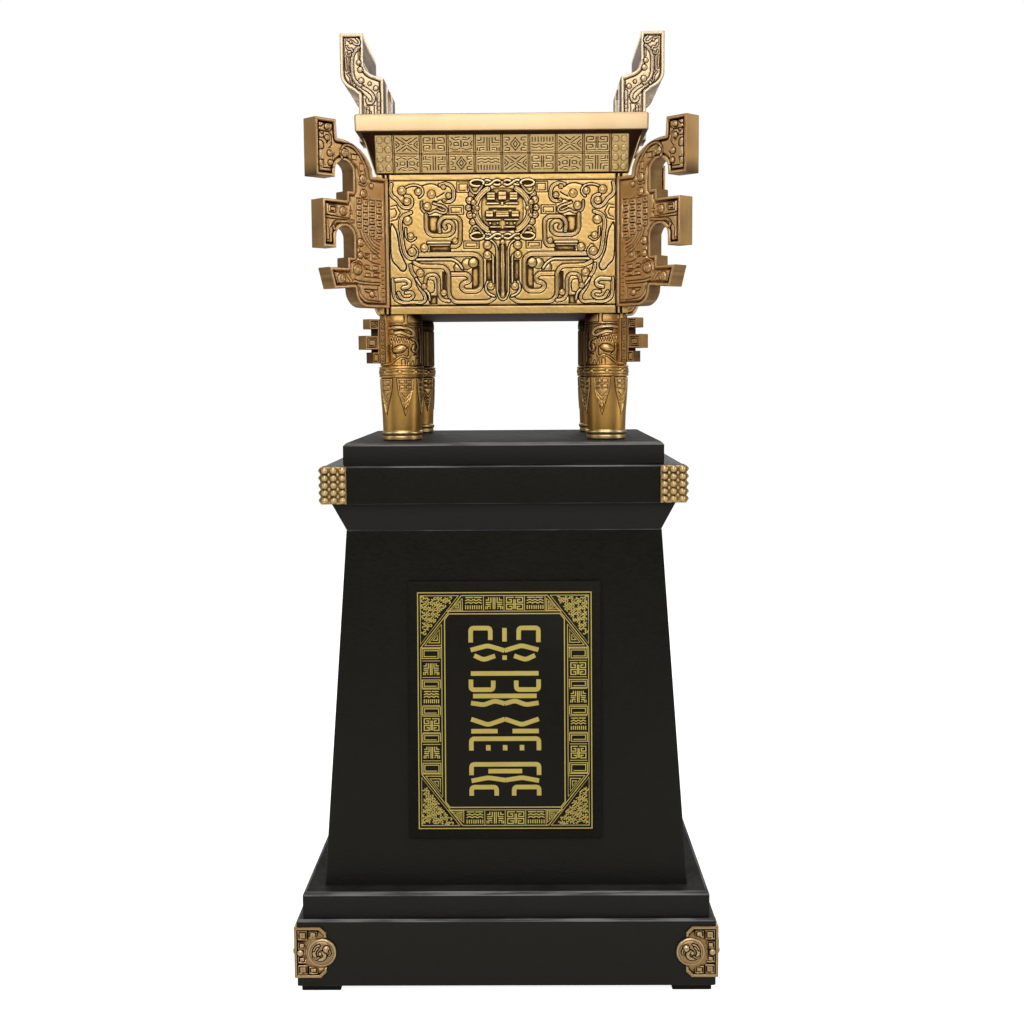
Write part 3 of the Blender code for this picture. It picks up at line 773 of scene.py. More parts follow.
def slab(name: str, relief: Relief, face: Face, back: float, budget: int,
         plain: float = 0.2) -> Piece:
    """A closed slab with a relief on its face.

    Args:
        name: The piece's name.
        relief: The carving.
        face: Where it lies.
        back: How far behind the face its back is, in millimetres.
        budget: Triangles that it may have.
        plain: Recess of its back and sides.

    Returns:
        The piece.
    """
    relief.roughen()
    rows, columns = relief.height.shape
    u, v = np.meshgrid(relief.u, relief.v)
    front = np.stack([u, v, relief.height], -1).reshape(-1, 3)
    index = np.arange(rows * columns).reshape(rows, columns)
    rim = np.concatenate([index[0, :-1], index[:-1, -1], index[-1, :0:-1], index[:0:-1, 0]])
    behind = front[rim].copy()
    behind[:, 2] = -back
    lower = np.arange(len(rim)) + len(front)
    sides = np.stack([rim, lower, np.roll(lower, -1), np.roll(rim, -1)], -1)
    faces = grid_faces(rows, columns) + sides.tolist() + [lower[::-1].tolist()]
    piece = new_object(name, mesh_of(name, face.place(np.vstack([front, behind])), faces))
    thin(piece, budget)
    wear_from(piece, relief, face, plain)
    even_out(piece)
    return piece


def add_ring(form: bmesh.types.BMesh, height: float, half_x: float, half_y: float, radius: float,
             steps: int) -> list[bmesh.types.BMVert]:
    """A level rectangle of points with round corners, counter-clockwise.

    Args:
        form: Where it is made.
        height: Its height.
        half_x: Half its width.
        half_y: Half its depth.
        radius: Radius of its corners.
        steps: Steps round each corner.

    Returns:
        Its points.
    """
    found = []
    for i, (side_x, side_y) in enumerate(((1, 1), (-1, 1), (-1, -1), (1, -1))):
        centre = (side_x * (half_x - radius), side_y * (half_y - radius))
        for x, y in arc(centre, (radius, radius), 90 * i, 90 * i + 90, steps):
            found.append(form.verts.new((x, y, height)))
    return found


def stacked(name: str, levels: Sequence[Triple], radius: float = 1.5 * MM,
            steps: int = 3, closed: bool = False) -> Mesh:
    """A closed form from level rectangles joined in turn, capped at both ends.

    Args:
        name: The mesh's name.
        levels: Height, half width along X and half width along Y of each rectangle.
        radius: Radius of their corners.
        steps: Straight steps round each corner.
        closed: Whether the last rectangle joins the first, in place of the caps.

    Returns:
        The mesh.
    """
    form = bmesh.new()
    rings = [add_ring(form, *level, radius, steps) for level in levels]
    for low, high in zip(rings, [*rings[1:], rings[0]] if closed else rings[1:]):
        for i, vert in enumerate(low):
            j = (i + 1) % len(low)
            form.faces.new((vert, low[j], high[j], high[i]))
    if not closed:
        form.faces.new(rings[0][::-1])
        form.faces.new(rings[-1])
    bmesh.ops.recalc_face_normals(form, faces=form.faces[:])
    mesh = finished(form, name)
    mesh.shade_smooth()
    return mesh


def block_levels(low: float, high: float, half_low: float, half_high: float, soft: float,
                 cut: float) -> list[Triple]:
    """Levels of a square block with a softened foot and a chamfered top.

    Args:
        low: Height of its underside.
        high: Height of its top.
        half_low: Half its width below.
        half_high: Half its width above.
        soft: Size of the softened lower edges.
        cut: Size of the chamfer round the top.

    Returns:
        The levels, from the underside up; the fourth to second from last make the chamfer.
    """
    places = (
        (low, half_low - soft), (low + 0.3 * soft, half_low - 0.3 * soft), (low + soft, half_low),
        (high - cut - 0.5 * MM, half_high), (high - cut, half_high),
        (high - 0.45 * cut, half_high - 0.55 * cut), (high, half_high - cut),
        (high, half_high - cut - 0.5 * MM),
    )
    return [(height, half, half) for height, half in places]


BLOCK_EDGE_HIGHLIGHTS = (0.0, 0.3, 0.0, 0.0, 0.8, 0.6, 0.9, 0.07)  # painted highlight on each level of a block, strongest along its chamfer


def chamfered(name: str, levels: Sequence[Triple], radius: float,
              haze: Point = (0.0, 0.0)) -> Piece:
    """A block from its levels, with painted highlights along its edges.

    Args:
        name: The block's name.
        levels: Its levels, from block_levels.
        radius: Radius of its upright edges.
        haze: Dusty haze at the foot and at the head of its sides.

    Returns:
        The block.
    """
    piece = new_object(name, stacked(name, levels, radius, 4))
    count = len(piece.data.vertices) // len(levels)
    dusty = [haze[0]] * 3 + [haze[1]] * 2 + [0.0] * 3
    add_wear(piece.data, np.repeat(dusty, count), np.repeat(BLOCK_EDGE_HIGHLIGHTS, count))
    crisp(piece, 30)
    return piece


# Closed pieces with carving


def tube(name: str, relief: Relief, surface: Turned, budget: int) -> Piece:
    """A closed turned piece with a relief wrapped round it.

    Args:
        name: The piece's name.
        relief: The carving, once round the piece.
        surface: The turned surface that it lies on.
        budget: Triangles that it may have.

    Returns:
        The piece.
    """
    u, v = np.meshgrid(relief.u[:-1], relief.v)
    flat = np.stack([u, v, relief.height[:, :-1]], -1).reshape(-1, 3)
    rows, columns = u.shape
    index = np.arange(rows * columns).reshape(rows, columns)
    faces = [*grid_faces(rows, columns, ring=True), index[0, ::-1].tolist(), index[-1].tolist()]
    piece = new_object(name, mesh_of(name, surface.place(flat), faces))
    thin(piece, budget)
    wear_from(piece, relief, surface)
    even_out(piece)
    return piece


def cut_out(outline: Path, relief: Relief,
            soft: float) -> tuple[np.ndarray, np.ndarray, list[list[int]], list[int]]:
    """Triangles of a relief inside an outline, with the edge of the outline softened.

    Args:
        outline: Corners, counter-clockwise.
        relief: The carving.
        soft: Radius of the softened edge in millimetres.

    Returns:
        Places (n, 2), heights (n), triangles, and the indices along the outline in order.
    """
    edge = []
    for start, end in zip(outline, [*outline[1:], outline[0]]):
        count = max(1, round(math.dist(start, end) / (1.5 * relief.step)))
        edge += [tuple(Vector(start).lerp(Vector(end), i / count)) for i in range(count)]
    spot, away = relief.outside(outline, 0)
    old = relief.height[spot]
    back = np.clip(soft + away, 0, soft)
    relief.height[spot] = np.where(away < 0, old - soft + np.sqrt(soft ** 2 - back ** 2), old - soft)
    _, u, v = relief.near(outline, 0)
    inner = away < -0.45 * relief.step
    points = [*edge, *zip(u[inner].tolist(), v[inner].tolist())]
    found = delaunay_2d_cdt([Vector(p) for p in points], [], [list(range(len(edge)))], 1, 1e-5)
    places = np.array([tuple(p) for p in found[0]])
    heights = relief.sample(relief.height, places[:, 0], places[:, 1])
    at = {first: i for i, origins in enumerate(found[3]) for first in origins if first < len(edge)}
    ring = [at[i] for i in range(len(edge))]
    heights[ring] = np.minimum(heights[ring], -soft)
    return places, heights, [list(face) for face in found[2]], ring


def plate(name: str, outline: Path, relief: Relief, surface: Surface, thick: float, budget: int,
          twin: bool = False, soft: float = 1.2) -> Piece:
    """A closed plate of any outline with a relief on its face.

    Args:
        name: The piece's name.
        outline: Corners of the plate, counter-clockwise.
        relief: The carving, over a rectangle that holds the outline.
        surface: What its face lies on.
        thick: Its thickness in millimetres.
        budget: Triangles that it may have.
        twin: Whether the back carries the same carving.
        soft: Radius of the softened edges.

    Returns:
        The piece.
    """
    relief.roughen()
    places, heights, faces, ring = cut_out(outline, relief, soft)
    behind = -thick - heights if twin else np.full(len(heights), -thick)
    front = surface.place(np.column_stack([places, heights]))
    back = surface.place(np.column_stack([places, behind]))
    count = len(front)
    faces += [[i + count for i in face[::-1]] for face in faces]
    for here, there in zip(ring, [*ring[1:], ring[0]]):
        faces.append([here, here + count, there + count, there])
    piece = new_object(name, mesh_of(name, np.vstack([front, back]), faces))
    thin(piece, budget)
    wear_from(piece, relief, surface, twin=thick if twin else None)
    even_out(piece)
    return piece


def copy_of(piece: Piece, name: str, matrix: Matrix) -> Piece:
    """The same piece again, moved by a matrix.

    Args:
        piece: The piece.
        name: The copy's name.
        matrix: Where the copy goes.

    Returns:
        The copy.
    """
    mesh = piece.data.copy()
    mesh.transform(matrix)
    if matrix.determinant() < 0:
        mesh.flip_normals()
    return new_object(name, mesh)


def corner_places(x: float, y: float) -> list[Matrix]:
    """Where four pieces go at the corners, with their X turned outwards.

    Args:
        x: Distance from the middle along X.
        y: Distance along Y.

    Returns:
        Four matrices.
    """
    return [Matrix.Translation((side_x * x, side_y * y, 0))
            @ Matrix.Rotation(math.atan2(side_y, side_x), 4, "Z") for side_x, side_y in CORNERS]


# Finishes


Colour = Triple


class Slot(Enum):
    """The record's material slots."""

    BRONZE = "bronze_gilt"
    BRASS = "brass_antique"
    LACQUER = "lacquer_black"
    PLAQUE = "plaque_black"


class NodeBook:
    """Adds and joins the nodes of one tree."""

    def __init__(self, tree: bpy.types.NodeTree) -> None:
        """Keeps the tree that nodes are added to."""
        self.tree = tree

    def add(self, kind: str, inputs: dict[str | int, object] | None = None,
            **settings: object) -> bpy.types.Node:
        """Adds a node.

        Args:
            kind: The node's type, without its ShaderNode prefix.
            inputs: A plain value or an output socket for each input, by name or index.
            settings: The node's own settings.

        Returns:
            The node.
        """
        node = self.tree.nodes.new("ShaderNode" + kind)
        for name, value in settings.items():
            setattr(node, name, value)
        self.feed(node, inputs or {})
        return node

    def feed(self, node: bpy.types.Node, inputs: dict[str | int, object]) -> None:
        """Sets or links the inputs of a node.

        Args:
            node: The node.
            inputs: A plain value or an output socket for each input, by name or index.
        """
        for name, value in inputs.items():
            if isinstance(value, Socket):
                self.tree.links.new(value, node.inputs[name])
            else:
                node.inputs[name].default_value = value

    def maths(self, operation: str, *values: object, clamp: bool = False) -> Socket:
        """The result of a Math node."""
        node = self.add("Math", dict(enumerate(values)), operation=operation, use_clamp=clamp)
        return node.outputs[0]

    def plus(self, value: object, other: Socket, share: float) -> Socket:
        """A value with a share of another one added."""
        return self.maths("ADD", value, self.maths("MULTIPLY", other, share))

    def noise(self, place: Socket, scale: float, detail: float = 2.0,
              stretch: Colour = (1, 1, 1)) -> Socket:
        """Soft noise, from 0 to 1, at a scale in lumps per metre."""
        spread = self.add("Mapping", {"Vector": place, "Scale": stretch}).outputs[0]
        return self.add("TexNoise", {"Vector": spread, "Scale": scale, "Detail": detail}).outputs["Fac"]

    def spread(self, value: Socket, low: float, high: float, to_low: float = 0.0,
               to_high: float = 1.0) -> Socket:
        """A value's stretch from low to high, made to run smoothly between two others."""
        inputs = {"Value": value, "From Min": low, "From Max": high, "To Min": to_low, "To Max": to_high}
        return self.add("MapRange", inputs, interpolation_type="SMOOTHSTEP").outputs[0]

    def blend(self, share: object, first: object, second: object, mode: str = "MIX") -> Socket:
        """One colour mixed into another."""
        node = self.add("Mix", {0: share, 6: first, 7: second}, data_type="RGBA", blend_type=mode)
        return node.outputs[2]


def effect(name: str, inputs: dict[str, object], outputs: dict[str, str],
           build: Callable[[NodeBook, bpy.types.NodeOutputs], dict[str, Socket]]) -> bpy.types.NodeTree:
    """A node group, made once and then shared by every finish that uses it.

    Args:
        name: The group's name.
        inputs: Its inputs, each with a number or a colour to start from.
        outputs: Its outputs, each with a socket type.
        build: Makes the nodes inside from the group's inputs, and returns a socket for each output.

    Returns:
        The group.
    """
    found = bpy.data.node_groups.get(name)
    if found:
        return found
    group = bpy.data.node_groups.new(name, "ShaderNodeTree")
    for label, start in inputs.items():
        kind = "NodeSocketFloat" if isinstance(start, (int, float)) else "NodeSocketColor"
        socket = group.interface.new_socket(label, in_out="INPUT", socket_type=kind)
        socket.default_value = start
    for label, kind in outputs.items():
        group.interface.new_socket(label, in_out="OUTPUT", socket_type=kind)
    entry, exit_node = group.nodes.new("NodeGroupInput"), group.nodes.new("NodeGroupOutput")
    for label, socket in build(NodeBook(group), entry.outputs).items():
        group.links.new(socket, exit_node.inputs[label])
    return group


CLOUD, SPECK = 22, 420  # lumps per metre in cast metal
PORES, WAVE, DUST, STREAKS = 120, 9, 30, 40  # the same in lacquer


def cast_skin(book: NodeBook, given: bpy.types.NodeOutputs) -> dict[str, Socket]:
    """Worn metal: dark patina and painted shade in the recesses, bright on worn crests and where a painted
    highlight is stored as crest, mottled between.

    Args:
        book: The group's nodes.
        given: The group's inputs.

    Returns:
        A socket for each output.
    """
    place = book.add("TexCoord").outputs["Object"]
    cloud, speck = book.noise(place, CLOUD, 3), book.noise(place, SPECK, 2)
    uneven = book.maths("MULTIPLY_ADD", cloud, 0.5, book.maths("MULTIPLY", speck, 0.25))
    sunk = book.maths("MULTIPLY", given["Recess"], given["Patina"])
    sunk = book.plus(sunk, book.maths("SUBTRACT", uneven, 0.375), 0.5)
    # Patina in the hollows together with painted shade, both read from the recess.
    shade_and_patina_mask = book.spread(sunk, 0.12, 0.85)
    # Worn crests, and painted highlights where those are stored as crest.
    worn = book.maths("MULTIPLY", given["Crest"], book.spread(uneven, 0.2, 0.5, 0.5, 1.0), clamp=True)
    warm = book.blend(book.spread(cloud, 0.35, 0.7, 0.0, 0.5), given["Body"], given["Warm"])
    metal = book.blend(worn, warm, given["Bright"])
    rough = book.plus(given["Roughness"], shade_and_patina_mask, 0.22)
    rough = book.plus(rough, book.maths("SUBTRACT", speck, 0.5), 0.12)
    return {"Color": book.blend(shade_and_patina_mask, metal, given["Dark"]), "Roughness": rough,
            "Height": book.plus(book.maths("MULTIPLY", cloud, 0.4), speck, 0.6)}


def open_grain(book: NodeBook, given: bpy.types.NodeOutputs) -> dict[str, Socket]:
    """Lacquer over open-pored wood: short pores along the grain, and a faint dusty sheen.

    Args:
        book: The group's nodes.
        given: The group's inputs.

    Returns:
        A socket for each output.
    """
    place = book.add("TexCoord").outputs["Object"]
    wave, pores = book.noise(place, WAVE, 2, (1, 1, 4)), book.noise(place, PORES, 3, (1, 1, 3.5))
    pores = book.spread(book.plus(pores, wave, 0.05), 0.44, 0.64)
    dust = book.noise(place, DUST, 4)
    shade = book.plus(book.maths("MULTIPLY", pores, 0.4), dust, 0.6)
    rough = book.plus(book.plus(given["Roughness"], pores, 0.10), dust, 0.08)
    return {"Color": book.blend(shade, given["Deep"], given["Film"]), "Roughness": rough,
            "Height": book.plus(pores, wave, 0.03)}


SKIN_OUTPUTS = {"Color": "NodeSocketColor", "Roughness": "NodeSocketFloat", "Height": "NodeSocketFloat"}
CAST_INPUTS = {
    "Body": (0.6, 0.4, 0.1, 1), "Warm": (0.5, 0.3, 0.1, 1), "Bright": (0.9, 0.7, 0.3, 1),
    "Dark": (0.05, 0.03, 0.02, 1), "Patina": 1.0, "Roughness": 0.3, "Recess": 0.0, "Crest": 0.0,
}
GRAIN_INPUTS = {"Deep": (0.01, 0.01, 0.01, 1), "Film": (0.03, 0.03, 0.03, 1), "Roughness": 0.35}


@dataclass(frozen=True)
class Finish:
    """What every finish has.

    Attributes:
        name: The material's name.
        slot: The record's slot that it stands for; not used.
    """

    name: str
    slot: Slot

    def material(self) -> bpy.types.Material:
        """The material, made on first use.

        Returns:
            The material.
        """
        found = bpy.data.materials.get(self.name)
        if not found:
            found = bpy.data.materials.new(self.name)
            found.use_nodes = True
            self.build(NodeBook(found.node_tree), found.node_tree.nodes["Principled BSDF"])
        return found

    def build(self, book: NodeBook, shader: bpy.types.Node) -> None:
        """Makes the nodes of the material."""
        raise NotImplementedError


@dataclass(frozen=True)
class CastFinish(Finish):
    """Cast metal, worn on its crests, with patina and painted shade in its recesses.

    Attributes:
        body: Colour of the plain metal.
        warm: Colour that it varies towards.
        bright: Colour of worn crests and of painted highlights.
        dark: Colour of the patina and of the painted shade.
        patina: How strongly recesses darken, with patina and painted shade.
        roughness: Roughness of the plain metal.
        skin: Strength of the fine cast texture.
    """

    body: Colour
    warm: Colour
    bright: Colour
    dark: Colour
    patina: float = 1.0
    roughness: float = 0.32
    skin: float = 0.12

    def build(self, book: NodeBook, shader: bpy.types.Node) -> None:
        """Makes the nodes of the material.

        Args:
            book: The material's nodes.
            shader: Its shader.
        """
        group = effect("cast skin", CAST_INPUTS, SKIN_OUTPUTS, cast_skin)
        recess, crest = (book.add("Attribute", attribute_name=name).outputs["Fac"]
                         for name in ("recess", "crest"))
        skin = book.add("Group", {
            "Body": (*self.body, 1), "Warm": (*self.warm, 1), "Bright": (*self.bright, 1),
            "Dark": (*self.dark, 1), "Patina": self.patina, "Roughness": self.roughness,
            "Recess": recess, "Crest": crest,
        }, node_tree=group).outputs
        bump = book.add("Bump", {"Height": skin["Height"], "Strength": self.skin, "Distance": 0.4 * MM})
        book.feed(shader, {"Base Color": skin["Color"], "Roughness": skin["Roughness"],
                           "Normal": bump.outputs[0], "Metallic": 1.0})


@dataclass(frozen=True)
class LacquerFinish(Finish):
    """Satin lacquer over open-pored wood.

    Attributes:
        deep: Colour of the lacquer.
        film: Colour of the haze on it.
        roughness: Its lowest roughness.
        pores: Strength of the pores.
        gloss: Level of its reflections.
        rubbed: Colour of the painted highlight along its edges.
        dusty: How much lighter a dusty haze makes it.
    """

    deep: Colour
    film: Colour
    roughness: float = 0.34
    pores: float = 0.17
    gloss: float = 0.25
    rubbed: Colour = (0.34, 0.34, 0.335)
    dusty: float = 0.016

    def build(self, book: NodeBook, shader: bpy.types.Node) -> None:
        """Makes the nodes of the material.

        Args:
            book: The material's nodes.
            shader: Its shader.
        """
        group = effect("open grain", GRAIN_INPUTS, SKIN_OUTPUTS, open_grain)
        grain = book.add("Group", {"Deep": (*self.deep, 1), "Film": (*self.film, 1),
                                   "Roughness": self.roughness}, node_tree=group).outputs
        # Painted highlight on the chamfered edges, broken up by streaks.
        rubbed = book.add("Attribute", attribute_name="crest").outputs["Fac"]
        streaks = book.noise(book.add("TexCoord").outputs["Object"], STREAKS, 5, (0.25, 0.25, 6))
        rubbed = book.maths("MULTIPLY", rubbed, book.spread(streaks, 0.38, 0.62, 0.3, 1.0), clamp=True)
        haze = book.add("Attribute", attribute_name="recess").outputs["Fac"]
        dusty = (*(value + self.dusty for value in self.film), 1)
        colour = book.blend(rubbed, book.blend(haze, grain["Color"], dusty), (*self.rubbed, 1))
        bump = book.add("Bump", {"Height": grain["Height"], "Strength": self.pores, "Distance": 0.5 * MM},
                        invert=True)
        book.feed(shader, {"Base Color": colour, "Roughness": grain["Roughness"], "Normal": bump.outputs[0],
                           "Specular IOR Level": self.gloss, "Specular Tint": (1.0, 0.96, 0.80, 1)})


GILT = CastFinish(
    "gilt bronze", Slot.BRONZE, (0.86, 0.55, 0.185), (0.72, 0.42, 0.12), (1.0, 0.79, 0.45),
    (0.086, 0.043, 0.015), 1.4, 0.35)
TABLET_GILT = CastFinish(
    "neck bronze", Slot.BRONZE, (1.0, 0.69, 0.285), (0.88, 0.55, 0.185), (1.0, 0.87, 0.52),
    (0.075, 0.038, 0.014), 1.9, 0.37)
FLANGE_GILT = CastFinish(
    "browner bronze", Slot.BRONZE, (0.63, 0.375, 0.145), (0.50, 0.275, 0.095), (0.92, 0.65, 0.36),
    (0.060, 0.027, 0.014), 1.75, 0.36)
RIM_GILT = CastFinish(
    "satin rim bronze", Slot.BRONZE, (0.83, 0.60, 0.345), (0.75, 0.51, 0.26), (0.90, 0.68, 0.41),
    (0.085, 0.045, 0.020), 1.25, 0.40, 0.10)
EAR_GILT = CastFinish(
    "ear bronze", Slot.BRONZE, (0.88, 0.66, 0.38), (0.80, 0.56, 0.27), (1.0, 0.89, 0.74),
    (0.12, 0.062, 0.026), 1.25, 0.42, 0.08)
LEG_GILT = CastFinish(
    "leg bronze", Slot.BRONZE, (0.84, 0.475, 0.125), (0.62, 0.30, 0.075), (1.0, 0.78, 0.42),
    (0.050, 0.018, 0.012), 1.3, 0.33, 0.08)
TEETH_GILT = CastFinish(
    "leg flange bronze", Slot.BRONZE, (0.66, 0.37, 0.12), (0.50, 0.25, 0.08), (0.95, 0.66, 0.34),
    (0.045, 0.016, 0.014), 1.6, 0.34)
BRASS = CastFinish(
    "antique brass", Slot.BRASS, (0.84, 0.55, 0.215), (0.70, 0.43, 0.15), (1.0, 0.84, 0.50),
    (0.046, 0.026, 0.012), 1.5, 0.33)
OLD_BRASS = CastFinish(
    "worn brass", Slot.BRASS, (0.54, 0.335, 0.135), (0.44, 0.26, 0.10), (0.98, 0.74, 0.42),
    (0.034, 0.018, 0.011), 2.0, 0.33)
BLACK_LACQUER = LacquerFinish(
    "black lacquer", Slot.LACQUER, (0.0030, 0.0028, 0.0012), (0.0115, 0.0112, 0.0082), 0.36, 0.30, 0.17)
# A rougher, less glossy copy of the black lacquer for the tiers whose tops face up; its lighter colour is
# painted light on those lit tops.
TOP_LACQUER = LacquerFinish(
    "top slab lacquer", Slot.LACQUER, (0.0105, 0.0092, 0.0070), (0.0235, 0.0210, 0.0180), 0.57, 0.35, 0.10)
PLAQUE_BLACK = LacquerFinish(
    "plaque black", Slot.PLAQUE, (0.0052, 0.0048, 0.0032), (0.0075, 0.0072, 0.0050), 0.26, 0.03)
PLAQUE_GOLD = CastFinish(
    "plaque gold", Slot.PLAQUE, (0.90, 0.72, 0.20), (0.80, 0.61, 0.15), (0.95, 0.80, 0.30),
    (0.3, 0.2, 0.06), 0.4, 0.42, 0.02)


def dress(piece: Piece, finish: Finish, *nodes: str) -> None:
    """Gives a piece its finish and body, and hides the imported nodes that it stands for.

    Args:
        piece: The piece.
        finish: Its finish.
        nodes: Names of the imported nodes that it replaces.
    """
    piece.data.materials.clear()
    piece.data.materials.append(finish.material())
    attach(piece, "root")
    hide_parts(*nodes)
    LOG.info("%s: %d triangles", piece.name, triangles(piece.data))


def hand_out(first: Piece, finish: Finish, stem: str, places: Sequence[Matrix],
             node: str = "ding_vessel") -> None:
    """Dresses a copy of a piece for each place, numbered from 1, and removes the piece itself.

    Args:
        first: The piece.
        finish: Its finish.
        stem: The copies' name before their number.
        places: Where they go.
        node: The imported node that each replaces, with braces where its number goes.
    """
    for i, place in enumerate(places, 1):
        dress(copy_of(first, f"{stem}_{i}", place), finish, node.format(i))
    bpy.data.objects.remove(first)


# The body's walls


BODY_HALF_X, BODY_HALF_Y = 0.195, 0.178
BODY_BOTTOM, BODY_TOP = 1.0363, 1.2496
FIELD_BOTTOM, FIELD_TALL, FIELD_HALF = 1.0495, 191.2, 176.5  # metres, millimetres, millimetres
SIDE_GAP = 0.25  # millimetres that a wall stops short of the body's corners

POCKETS = (  # pairs of opposite corners
    ((114.7, 138.2), (97.7, 111.1)), ((114, 92), (79.8, 83.1)), ((94.7, 52.3), (88.7, 24.4)),
    ((26.3, 69.9), (17.4, 36.1)), ((48.6, 61.1), (36.7, 24.4)), ((115.5, 15.5), (102.1, 0.9)),
)
BANDS = (  # width, lines along it, radius of its bends, path
    (7.2, 2, 9, ((136.3, 78.4), (41.2, 78.4), (33.5, 70.9), (33.5, 28.8), (39.7, 21.7), (59.5, 21.7),
      (65.7, 28.8), (61, 34.9), (53.6, 35.6), (50.9, 42), (56.1, 48.2), (82.8, 48.2))),
    (4.6, 0, 7, ((134.8, 70.6), (76.9, 70.6), (67.9, 64), (63, 56.7))),
    (6.6, 2, 8, ((137.8, 66.4), (127.4, 60.8), (91.7, 59.8), (84.3, 50.8), (84.3, 14.5), (76.1, 5.0),
      (21.9, 5.0), (13.7, 11.1))),
    (5.8, 1, 10, ((171.9, 186), (174.4, 177.2), (171.9, 168.4), (163, 162.5), (158.6, 155.1),
      (151.9, 149.5), (142.7, 150.7), (139.4, 158.8), (142.5, 166.7), (150.4, 168.2))),
    (3.6, 0, 8, ((150.7, 180.9), (142.2, 184.6), (131.3, 184.4), (123.6, 179.7), (122.6, 171),
      (128.6, 166.1))),
    (5.6, 1, 8, ((96.7, 184), (87.3, 187.2), (77.6, 182.5), (74.6, 172.8), (75.6, 162.5), (82.1, 158.4),
      (90.6, 160.5))),
    (4.2, 1, 7, ((125.4, 158.6), (125.7, 149.3), (120.7, 142.6), (111, 141.7), (104.6, 146.6),
      (95.7, 142.4), (88.7, 141.7), (85.5, 147), (91.2, 152.4), (100.1, 154.7), (107, 157))),
    (6.4, 2, 8, ((118.5, 139), (118.5, 115.9), (111.5, 107.9), (82.8, 107.9), (75.6, 114.5), (75.6, 123.8),
      (80.8, 129.1), (88.5, 128.6), (91.7, 123.8), (88.7, 118.9))),
    (6.6, 2, 8, ((97.5, 113.5), (99.5, 126), (92.7, 135.9), (71.4, 135.9), (65.5, 129.7), (65.8, 97.8),
      (70.4, 90.8), (78.6, 91))),
    (4.4, 0, 2, ((116, 96.6), (81.8, 96.6))),
    (5.8, 1, 9, ((142.2, 142.9), (155.6, 137.5), (159.3, 127.2), (154.9, 90.5), (151.1, 77.3),
      (142.2, 70.6), (134.1, 75.8), (133.3, 84.6), (139, 90.5))),
    (3.6, 0, 6, ((150.4, 118.4), (150.4, 105.2), (142.7, 98), (135.3, 103.7))),
    (5.6, 2, 7, ((121.4, 33.6), (119.2, 47.1), (104.3, 47.6), (99.9, 40.5), (99.9, 15.5), (93.2, 7.5),
      (84, 6.7))),
    (5.4, 1, 9, ((143.7, 62), (142.2, 52.3), (134.8, 42), (131.3, 28.8), (122.4, 17), (120.2, 8.2),
      (126.9, 3.6), (139.3, 5.3), (157.1, 3.6), (168.2, 9.2), (171, 19.5), (171, 40))),
    (4.2, 0, 9, ((135.3, 41), (126.5, 28), (115.5, 18.5), (114, 8))),
    (6.6, 0, 8, ((166.5, 39.1), (150.7, 40.1), (144.7, 34.6), (147.2, 28.8), (155.6, 27.1))),
    (5.2, 1, 7, ((163.3, 19.5), (157.6, 9.5), (144.7, 9.2), (138.8, 15.1), (143.2, 21), (151.6, 19.5))),
    (3.6, 0, 8, ((20.9, 101), (12.5, 95.9), (8.9, 87.5), (8.9, 20), (4.6, 9.6), (0, 8))),
    (3.8, 0, 6, ((19.4, 80.2), (14.9, 74.9), (14.9, 34.6))),
    (4.2, 0, 6, ((23.4, 35.7), (28.1, 25.4), (21.9, 16.5), (13.7, 13.6))),
)
PLATES = (  # flat raised shapes: top, moat, outline
    (0.5, 1.6, ((172, 126), (165.5, 116), (162.2, 100), (160.6, 84), (154.5, 70), (149.4, 60), (153, 52.6),
      (160, 54.5), (163.4, 61), (171, 67), (173.9, 80), (173.9, 118))),
    (-0.2, 1.0, ((118.5, 39.1), (108.1, 39.1), (106.1, 30), (108.1, 19.4), (116.5, 19.4), (120, 28))),
)
LOBES = (((68, 57.7), 8.2), ((55.5, 63.6), 8.4), ((45.9, 65.3), 7.4))
BOSSES = (  # place, radius
    ((155.6, 176.2), 6.7), ((147.9, 159.5), 5.9), ((130.2, 174.4), 5.6), ((109.8, 170.6), 6.3),
    ((91, 181.6), 3.9), ((83.2, 168.1), 4.6), ((116.7, 151.7), 6.3), ((147.4, 130.5), 6.9),
    ((143.0, 106.4), 5.2), ((141.0, 82.3), 6.6), ((73.8, 98.6), 4.6), ((121.9, 88.3), 6.4),
    ((92.1, 19.2), 4.9), ((128.9, 49.6), 6.2), ((122.7, 29.3), 4.4), ((23.4, 92.2), 6.6), ((23.7, 77), 6.3),
    ((18.9, 28.8), 5.8),
)
THUNDER = (  # engraved square spirals: centre, size
    ((60.5, 181.0), (20, 16)), ((71.7, 146.3), (23, 13.5)), ((48.5, 92.9), (24, 11.5)),
)
MEDALLION_STROKES = (  # place across and up, width, height, slots
    (17.5, 20.5, 13, 12, 2), (0, 21, 13, 13, 1), (15, 9.3, 21, 3.4, 0), (0, 9.3, 4.5, 6, 0),
    (20, -6.5, 12, 9.5, 1), (0, -6.5, 21, 9.5, 2), (14, -15.5, 24, 3.4, 0), (7.5, -21, 4.4, 4, 0),
    (19, -21, 4.4, 4, 0), (11, -26.5, 18, 3.4, 0),
)
STROKE_GAPS = (1.5, -30.5)  # heights of the deep gaps between the rows
WREATH_LOBES = (  # place across and up, radius
    (47.5, 24, 5.2), (50.5, 14.5, 5.8), (52.5, 3, 4.6), (50, -8, 5.6), (45.5, -18.5, 5.4), (40.5, -27, 4.4),
)
WING_LINES = (  # path, width, depth
    (((173.2, 152.4), (164.5, 154.4), (158.8, 142.4), (163.5, 132.6), (173.2, 129.7)), 1.3, 1.6),
    (((173.2, 147.9), (167, 149), (164, 142), (167, 136), (173.2, 134.5)), 1.2, 1.5),
)
